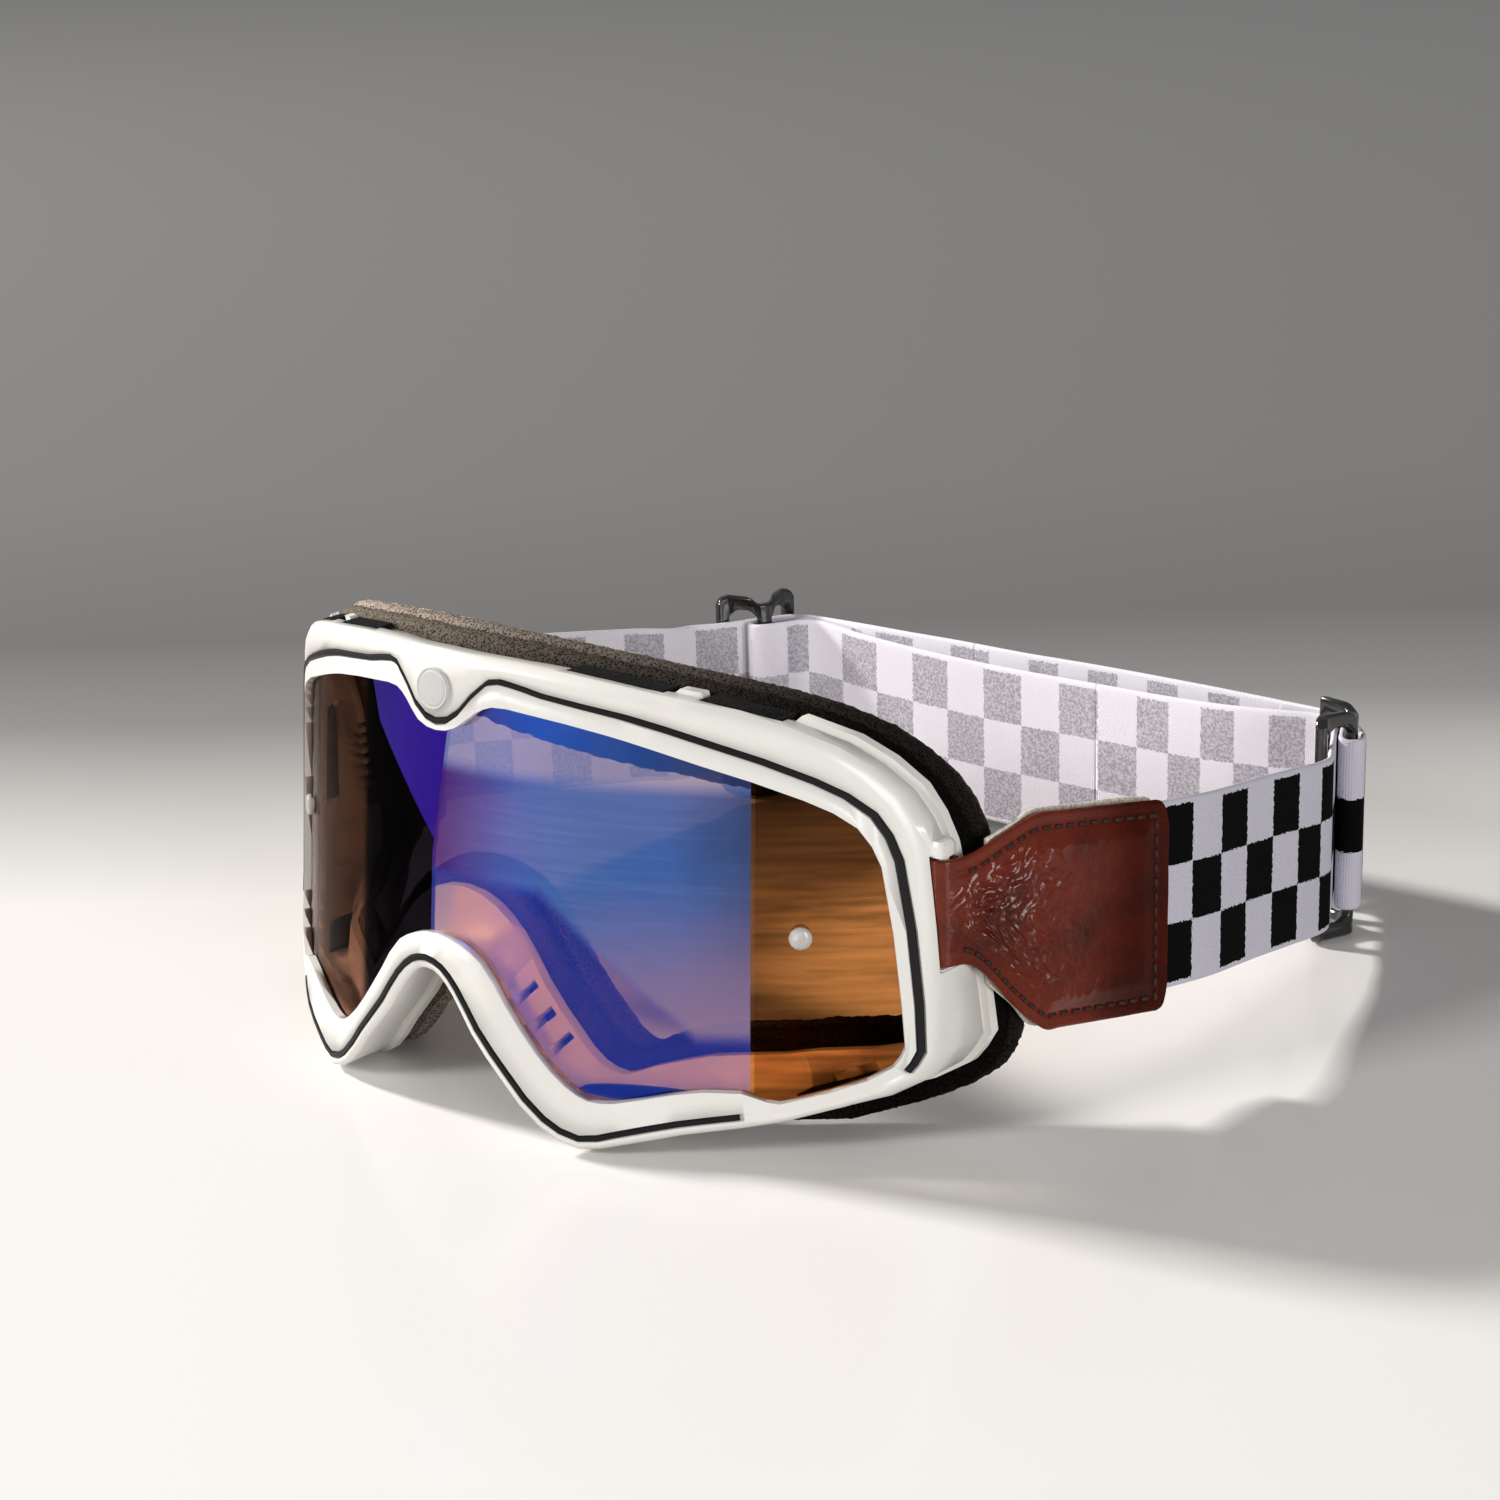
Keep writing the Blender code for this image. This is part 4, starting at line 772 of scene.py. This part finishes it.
class GOGGLES_OT_foam(bpy.types.Operator):
    """Swell and roughen the three layers of face foam"""
    bl_idname = "goggles.foam"
    bl_label = "Face foam"

    def layer(self, context, node, name, material, slot, pile, cell, fill):
        values = context.scene.goggles.foam
        piece = merged_copy(node, name)
        remesh = piece.modifiers.new("cells", 'REMESH')
        remesh.mode = 'VOXEL'
        remesh.voxel_size = values.voxel
        remesh.use_smooth_shade = True
        soften = piece.modifiers.new("soften", 'SMOOTH')
        soften.factor = 0.5
        soften.iterations = 6
        apply_modifiers(piece)
        mesh = piece.data
        for vert, normal in zip(mesh.vertices, [vert.normal.copy() for vert in mesh.vertices]):
            spot = vert.co / cell
            vert.co += normal * (noise.noise(spot) + 0.6 * noise.noise(spot * 2.3)) * pile
        mesh.shade_smooth()
        finish_piece(piece, material, slot, "frame", node)

    def execute(self, context):
        pile = context.scene.goggles.foam.pile
        # Each layer's painted shade column gives the share of its colour left at its right end
        for node, name, slot, look, dark, light, scale, bare, sheen, painted_right_shade, lift, cell, fill in (
                ("face_foam_base", "foam_base_cells", "foam_black", "foam black", (0.012, 0.010, 0.008),
                 (0.30, 0.25, 0.205), 2000.0, 0.9, 0.0, 0.025, 0.5, 0.0011, 0.8),
                ("face_foam_middle", "foam_middle_cells", "foam_grey", "foam brown", (0.020, 0.016, 0.013),
                 (0.60, 0.49, 0.41), 2000.0, 0.95, 0.02, 0.03, 0.9, 0.0010, 0.8),
                ("face_foam_fleece", "foam_fleece_pile", "fleece_brown", "fleece brown", (0.05, 0.038, 0.030),
                 (0.95, 0.79, 0.66), 2200.0, 0.95, 0.06, 0.04, 1.0, 0.0009, 0.7)):
            material = foam_material(look, dark, light, scale, bare, sheen, painted_right_shade)
            self.layer(context, node, name, material, slot, pile * lift, cell, fill)
        return {'FINISHED'}


# Leather tabs

def clamped(value):
    return min(max(value, 0.0), 1.0)


def bell(value, width):
    return math.exp(-(value / width) ** 2)


def ridge(*place):
    """1 on sharp ridges, less between them."""
    return 1.0 - abs(noise.noise(Vector(place)))


class Tab:
    """Measures of one tab along its leather, shared by its surface and seam."""

    def __init__(self, side, inset):
        self.outward = 1.0 if side == "right" else -1.0
        self.line, self.along = smooth_line(ribbon_line("leather_tab_" + side, LEATHER_PLY), 0.00045)
        self.length = self.along[-1]
        self.inset = inset
        heights = self.line[:, 3] - self.line[:, 2]
        self.wrap = self.along[int(np.argmax(heights > heights[0] + 0.0015))]
        self.knee = self.along[int(np.argmax(heights))]
        # Rounded rear corners
        rest = np.clip(CORNER_RADIUS - (self.length - self.along), 0.0, CORNER_RADIUS * 0.985)
        rounding = CORNER_RADIUS - np.sqrt(CORNER_RADIUS ** 2 - rest ** 2)
        self.line[:, 2] += rounding
        self.line[:, 3] -= rounding

    def at(self, distance, *columns):
        return [np.interp(distance, self.along, self.line[:, column]) for column in columns]

    def surface(self, distance, height):
        """Lift of the outer face: padding, pressed seam, creases and hide."""
        start = clamped((distance - self.wrap + LOOP_RUN) / LOOP_RUN)
        if start <= 0.0:
            return 0.0
        low, high = self.at(distance, 2, 3)
        gap = min(height - low, high - height, self.length - distance) - self.inset
        inside = clamped(gap / PAD_SHOULDER)
        inside = inside * inside * (3.0 - 2.0 * inside)
        from_middle = abs(height - (low + high) / 2.0)
        reach = distance - self.wrap
        span = self.knee - self.wrap + LOOP_RUN
        front = clamped(1.25 - reach / span)
        swell = SWELL * inside + KNEE_SWELL * inside * bell(reach - span * 0.7, 0.010)
        # Herringbone creases in front of the knee, upright ones behind it
        warp = 0.0014 * noise.noise(Vector((reach, height, 0.0)) * 260.0)
        across = reach * math.sin(CREASE_SLANT) - from_middle * math.cos(CREASE_SLANT) + warp
        run = reach * math.cos(CREASE_SLANT) + from_middle * math.sin(CREASE_SLANT)
        creases = (ridge(across * 720.0, run * 210.0, 1.7) ** 4 - 0.5) * CREASE
        creases += (ridge(across * 1300.0, run * 460.0, 7.9) ** 4 - 0.5) * FINE_CREASE
        upright = (ridge((reach + warp) * 430.0, height * 60.0, 4.2) ** 5 - 0.5) * UPRIGHT_CREASE
        hide = noise.noise(Vector((reach, height, 0.3)) * 160.0) * HIDE
        return start * (swell - PINCH * bell(gap, SEAM_WIDTH)
                        + inside * (creases * front + upright * bell(reach - span - 0.004, 0.007)) + hide)


def leather_material(name, colour):
    material, shader, surface = new_material(name, Specular_IOR_Level=0.05, Coat_Roughness=0.10)
    place = shader.coordinates()
    # The creased front half has more coat, and a painted highlight lightens its colour
    creased = shader.less(1.0, shader.step(shader.parts(place)[1], -0.030, -0.010))
    grain = shader.group(grain_group, Place=place, Fine=1600.0, Broad=90.0, Share=0.45)
    dark = tinted(colour, 0.45)
    drift = shader.noise(place, 70.0, 4.0, 0.6)
    tone = shader.ramp(drift, ((0.28, dark), (0.5, colour), (0.78, tinted(colour, 1.5, 1.6, 1.6))))
    pores = shader.node("ShaderNodeTexVoronoi", feature='DISTANCE_TO_EDGE')
    crack = shader.step(shader.feed(pores, Vector=place, Scale=1500.0).outputs["Distance"], 0.0, 0.25)
    tone = shader.mix(shader.linear(crack, -0.35, 0.35), tone, dark)
    # Painted highlight: the front half's colour is made lighter and greyer, as where gloss catches the light
    painted_highlight = shader.mix(1.0, tone, (2.3, 2.8, 3.6), 'MULTIPLY')
    height = shader.linear(crack, 0.6, shader.times(grain.outputs["Height"], 0.5))
    shader.feed(surface, Base_Color=shader.mix(creased, tone, painted_highlight), Coat_Weight=shader.linear(creased, 0.45, 0.05),
                Roughness=shader.linear(grain.outputs["Mask"], 0.22, 0.24),
                Normal=shader.bump(height, 0.35, 0.00025))
    return material


def capsule(name, length, radius):
    """One stitch, modelled once at the origin along X."""
    deselect()
    bpy.ops.mesh.primitive_cylinder_add(vertices=10, radius=radius, depth=length * 0.7,
                                        rotation=(0.0, math.pi / 2.0, 0.0))
    piece = bpy.context.object
    piece.name = name
    bpy.ops.object.transform_apply()
    switch('EDIT')
    bpy.ops.mesh.select_all(action='DESELECT')
    switch('OBJECT')
    for face in piece.data.polygons:
        face.select = abs(face.normal.x) > 0.9
    switch('EDIT')
    bpy.ops.mesh.inset(thickness=radius * 0.45, depth=length * 0.13)
    switch('OBJECT')
    piece.data.shade_smooth()
    return piece


def sewn(name, stitch, places):
    """Copies of one stitch at places (point, direction, outward), joined."""
    pieces = []
    for point, run, out in places:
        copy = placed(name, stitch.data.copy())
        run = run.normalized()
        side = out.cross(run).normalized()
        turn = Matrix((run, side, run.cross(side))).transposed().to_4x4()
        copy.matrix_world = Matrix.Translation(point) @ turn
        pieces.append(copy)
    deselect()
    for piece in pieces:
        piece.select_set(True)
    bpy.context.view_layer.objects.active = pieces[0]
    bpy.ops.object.join()
    bpy.ops.object.transform_apply()
    joined = bpy.context.object
    joined.name = name
    joined.data.shade_smooth()
    return joined


class GOGGLES_OT_tabs(bpy.types.Operator):
    """Cut, pad and sew the leather tabs and their linings"""
    bl_idname = "goggles.tabs"
    bl_label = "Leather tabs"

    def seam(self, tab, pitch):
        """Points of the seam round the tab's outer face, with run and outward."""
        lower, upper = [], []
        end = tab.length - tab.inset
        for distance in np.arange(tab.wrap - 0.003, end, SEAM_STEP):
            low, high = tab.at(distance, 2, 3)
            lower.append((distance, low + tab.inset))
            upper.append((distance, high - tab.inset))
        low, high = tab.at(end, 2, 3)
        rear = [(end, height) for height in np.arange(low + tab.inset, high - tab.inset, SEAM_STEP)]
        points = []
        for distance, height in lower + rear + upper[::-1]:
            before, after = (tab.at(distance + step, 0, 1) for step in (-0.0004, 0.0004))
            run = Vector((after[0] - before[0], after[1] - before[1], 0.0)).normalized()
            out = Vector((run.y, -run.x, 0.0)) * tab.outward
            lift = LEATHER_PLY / 2.0 + tab.surface(distance, height) + 0.00004
            points.append((Vector((*tab.at(distance, 0, 1), height)) + out * lift, out))
        places = []
        travelled, wanted = 0.0, pitch / 2.0
        for (first, out), (second, _) in zip(points, points[1:]):
            gap = (second - first).length
            if travelled + gap >= wanted and gap > 0.0:
                places.append((first.lerp(second, (wanted - travelled) / gap), second - first, out))
                wanted += pitch
            travelled += gap
        return places

    def execute(self, context):
        values = context.scene.goggles.leather
        leather = leather_material("polished leather", tuple(values.colour))
        thread = moulded_plastic("waxed thread", (0.022, 0.006, 0.004), 0.7, 0.5, 0.3)
        suede, shader, surface = new_material("cream suede", Roughness=0.9, Sheen_Weight=0.4)
        speckle = shader.group(speckle_group, Place=shader.coordinates(), Scale=1400.0,
                               Dark=(0.50, 0.42, 0.33), Pale=(0.83, 0.77, 0.67), Bare=0.9)
        shader.feed(surface, Base_Color=speckle.outputs["Color"],
                    Normal=shader.bump(speckle.outputs["Height"], 0.4, 0.0003))
        stitch = capsule("stitch", values.stitch_pitch * 0.62, 0.00020)
        for side in ("right", "left"):
            tab = Tab(side, values.stitch_inset)
            body = "tab_" + side
            piece = band("tab_leather_" + side, tab.line, tab.along, LEATHER_PLY, 104, 0.014, tab.outward,
                         tab.surface)
            finish_piece(piece, leather, "brown_leather", body, "leather_tab_" + side)
            sewing = sewn("tab_seam_" + side, stitch, self.seam(tab, values.stitch_pitch))
            finish_piece(sewing, thread, "brown_leather", body)
            line, along = smooth_line(ribbon_line("tab_lining_" + side, LINING_PLY), 0.001)
            lining = band("tab_suede_" + side, line, along, LINING_PLY, 30, 0.012, tab.outward)
            finish_piece(lining, suede, "cream_lining", body, "tab_lining_" + side)
        bpy.data.objects.remove(stitch)
        return {'FINISHED'}


# Straps

# Where the checks stand on the stretched elastic: millimetres from its end in the tab, and checks
CHECKS_ALONG = {
    "right": ((0.0, -3.1), (37.4, 0.0), (96.6, 5.0), (141.3, 9.0), (184.4, 14.0), (250.4, 20.0), (286.2, 23.0),
              (292.3, 24.0), (303.0, 25.0), (340.0, 28.0)),
    "left": ((0.0, -4.3), (61.0, 1.0), (118.2, 6.0), (137.0, 7.0), (207.4, 13.0), (265.6, 20.0), (343.9, 27.0),
             (356.0, 28.0)),
}
NOMINAL_CHECK = 12.0 * MM
WEAVE_SHARE = 0.94
RAGGED_EDGE = 0.0004
# Each band is cut in two at the back middle
CUT_DEPTH = 12.0 * MM
CUT_REACH = 20.0 * MM


def webbing_material(name, values, width):
    """Woven checks: full contrast on the outer face, a pale ghost inside."""
    material, shader, surface = new_material(name, Roughness=0.95, Specular_IOR_Level=0.04)
    along, across = shader.parts(shader.coordinates("UV"))[:2]
    inside = shader.math('GREATER_THAN', across, 1.0)
    height = shader.times(shader.math('PINGPONG', across, 1.0), width)
    row_height = (width - 2.0 * values.selvedge) / values.rows
    # Each thread ends a little before or after the check's edge
    threads = (shader.math('FLOOR', shader.divided(value, THREAD)) for value in (along, height))
    steps = shader.feed(shader.node("ShaderNodeCombineXYZ"), **dict(zip("XY", threads)))
    ragged = shader.feed(shader.node("ShaderNodeTexWhiteNoise", noise_dimensions='2D'), Vector=steps.outputs[0])
    jitter = shader.linear(ragged.outputs["Value"], RAGGED_EDGE, -RAGGED_EDGE / 2.0)
    column = shader.divided(shader.plus(along, jitter), values.check_length)
    row = shader.divided(shader.plus(shader.less(height, values.selvedge), jitter), row_height)
    parity = shader.plus(shader.math('FLOOR', column), shader.math('FLOOR', row))
    in_rows = shader.times(shader.math('GREATER_THAN', row, 0.0), shader.math('LESS_THAN', row, float(values.rows)))
    dark = shader.times(shader.math('FLOORED_MODULO', parity, 2.0), in_rows)
    weave = shader.group(weave_group, Along=along, Across=height, Thread=THREAD)
    speckle = shader.noise(shader.coordinates(), 1500.0, 2.0, 0.6)
    # The pale thread is painted darker in the weave's hollows, a painted shade
    pale = shader.mix(weave.outputs["Shade"], tinted(values.pale, 0.86), tuple(values.pale))
    outer = shader.mix(dark, pale, tuple(values.dark))
    ghost = shader.mix(shader.step(speckle, 0.35, 0.65), (0.40, 0.38, 0.43), (0.66, 0.63, 0.70))
    inner = shader.mix(dark, (0.90, 0.87, 0.94), ghost)
    relief = shader.linear(weave.outputs["Height"], 0.7, shader.times(speckle, 0.3))
    shader.feed(surface, Base_Color=shader.mix(inside, outer, inner), Normal=shader.bump(relief, 0.5, 0.00035))
    return material


class GOGGLES_OT_straps(bpy.types.Operator):
    """Weave both straps from the tabs through the buckles to their sewn loops"""
    bl_idname = "goggles.straps"
    bl_label = "Straps"

    def execute(self, context):
        values = context.scene.goggles.strap
        material = webbing_material("check webbing", values, STRAP_WIDTH)
        for side, outward, other in (("right", 1.0, "left"), ("left", -1.0, "right")):
            line, along = smooth_line(ribbon_line("strap_" + side, STRAP_PLY), 0.0008)
            places, checks = zip(*CHECKS_ALONG[side])
            pattern = np.interp(along / MM, places, checks) * NOMINAL_CHECK
            rear = float(np.max(line[:, 1]))
            cut = next(index for index, (x, y) in enumerate(line[:, :2])
                       if y > rear - CUT_DEPTH and x * outward < CUT_REACH)
            for part, first, last, bodies in (("side", 0, cut, ("tab_" + side, "frame")),
                                              ("back", cut, len(line) - 1, ("frame", "buckle_" + other))):
                piece = band(f"strap_{side}_{part}", line[first:last + 1], pattern[first:last + 1],
                             STRAP_PLY * WEAVE_SHARE, 22, 0.022, outward)
                piece.data.materials.append(material)
                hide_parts("strap_" + side)
                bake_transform(piece)
        return {'FINISHED'}


# Buckles

class GOGGLES_OT_buckles(bpy.types.Operator):
    """Round off the moulded three-bar buckles"""
    bl_idname = "goggles.buckles"
    bl_label = "Buckles"

    def execute(self, context):
        gloss = moulded_plastic("buckle black", (0.009, 0.009, 0.010), 0.16, 0.04, 0.2, Coat_Weight=0.5,
                                Coat_Roughness=0.05)
        for side in ("left", "right"):
            node = "buckle_" + side
            dressed(node, "buckle_moulding_" + side, gloss, "buckle_black", 50.0, node, 1.0, bevel=(0.00045, 25.0))
        return {'FINISHED'}


# Floor, lights and camera

class GOGGLES_OT_stage(bpy.types.Operator):
    """Lay the pale floor and set the soft lights and the camera"""
    bl_idname = "goggles.stage"
    bl_label = "Stage"

    def execute(self, context):
        deselect()
        bpy.ops.mesh.primitive_plane_add(size=12.0, location=(0.0, 0.0, -0.0002))
        floor = context.object
        floor.name = "studio_floor"
        material, shader, surface = new_material("pale floor", Roughness=0.20, Specular_IOR_Level=0.18)
        place = shader.coordinates()
        turned = shader.feed(shader.node("ShaderNodeMapping"), Vector=place,
                             Rotation=(0.0, 0.0, -math.radians(CAMERA_AZIMUTH)))
        behind = shader.linear(shader.noise(place, 5.0, 2.0), 0.02, shader.parts(turned.outputs[0])[1])
        # The camera sees the painted falloff of light; light that bounces takes the plain bounce colour
        shader.feed(surface, Base_Color=shader.mix(shader.seen(), FLOOR_BOUNCE, shader.ramp(behind, FLOOR_PAINTED_FALLOFF)))
        floor.data.materials.append(material)

        world = bpy.data.worlds.new("studio")
        world.use_nodes = True
        context.scene.world = world
        sky = Shader(world.node_tree)
        sky.feed(world.node_tree.nodes["Background"], Color=SKY, Strength=sky.linear(sky.seen(), SKY_SEEN, SKY_LIGHT))

        for name, place, target, size, power, colour in LAMPS:
            lamp = bpy.data.lights.new(name + "_lamp", 'AREA')
            lamp.shape = 'SQUARE'
            lamp.size = size
            lamp.energy = power
            lamp.color = colour
            holder = placed(name + "_lamp", lamp)
            holder.visible_camera = False
            holder.location = place
            holder.rotation_euler = (Vector(target) - Vector(place)).to_track_quat('-Z', 'Y').to_euler()

        azimuth = math.radians(CAMERA_AZIMUTH)
        pitch = math.radians(CAMERA_PITCH)
        back = Vector((math.sin(azimuth) * math.cos(pitch), -math.cos(azimuth) * math.cos(pitch), math.sin(pitch)))
        right = Vector((math.cos(azimuth), math.sin(azimuth), 0.0))
        up = back.cross(right)
        roll = math.radians(CAMERA_ROLL)
        across = right * math.cos(roll) + up * math.sin(roll)
        upward = up * math.cos(roll) - right * math.sin(roll)
        camera = placed("camera", bpy.data.cameras.new("camera"))
        camera.data.lens = CAMERA_LENS
        camera.data.sensor_width = 36.0
        camera.data.clip_start = 0.01
        turn = Matrix((across, upward, back)).transposed().to_4x4()
        camera.matrix_world = Matrix.Translation(CAMERA_PLACE) @ turn
        context.scene.camera = camera
        context.scene.view_settings.view_transform = 'Standard'
        return {'FINISHED'}


class GOGGLES_PT_sidebar(bpy.types.Panel):
    """Buttons for the pieces of the goggles"""
    bl_idname = "GOGGLES_PT_sidebar"
    bl_label = "Goggles"
    bl_space_type = 'VIEW_3D'
    bl_region_type = 'UI'
    bl_category = "Goggles"

    def draw(self, context):
        for name in ("frame", "lens", "strap", "leather", "foam"):
            values = getattr(context.scene.goggles, name)
            box = self.layout.box()
            box.label(text=name.capitalize())
            for key in values.bl_rna.properties.keys():
                if key not in ("rna_type", "name"):
                    box.prop(values, key)
        for operator in OPERATORS:
            self.layout.operator(operator.bl_idname)


OPERATORS = (GOGGLES_OT_stage, GOGGLES_OT_moulding, GOGGLES_OT_badge, GOGGLES_OT_lens, GOGGLES_OT_foam,
             GOGGLES_OT_tabs, GOGGLES_OT_straps, GOGGLES_OT_buckles)
CLASSES = (FrameSettings, LensSettings, StrapSettings, LeatherSettings, FoamSettings,
           GogglesSettings) + OPERATORS + (GOGGLES_PT_sidebar,)


def register():
    for item in CLASSES:
        bpy.utils.register_class(item)
    bpy.types.Scene.goggles = PointerProperty(type=GogglesSettings)


def unregister():
    del bpy.types.Scene.goggles
    for item in reversed(CLASSES):
        bpy.utils.unregister_class(item)


def main():
    register()
    for operator in OPERATORS:
        group, name = operator.bl_idname.split(".")
        if getattr(getattr(bpy.ops, group), name)() != {'FINISHED'}:
            raise RuntimeError(operator.bl_label + " did not finish")


if __name__ == "__main__":
    main()
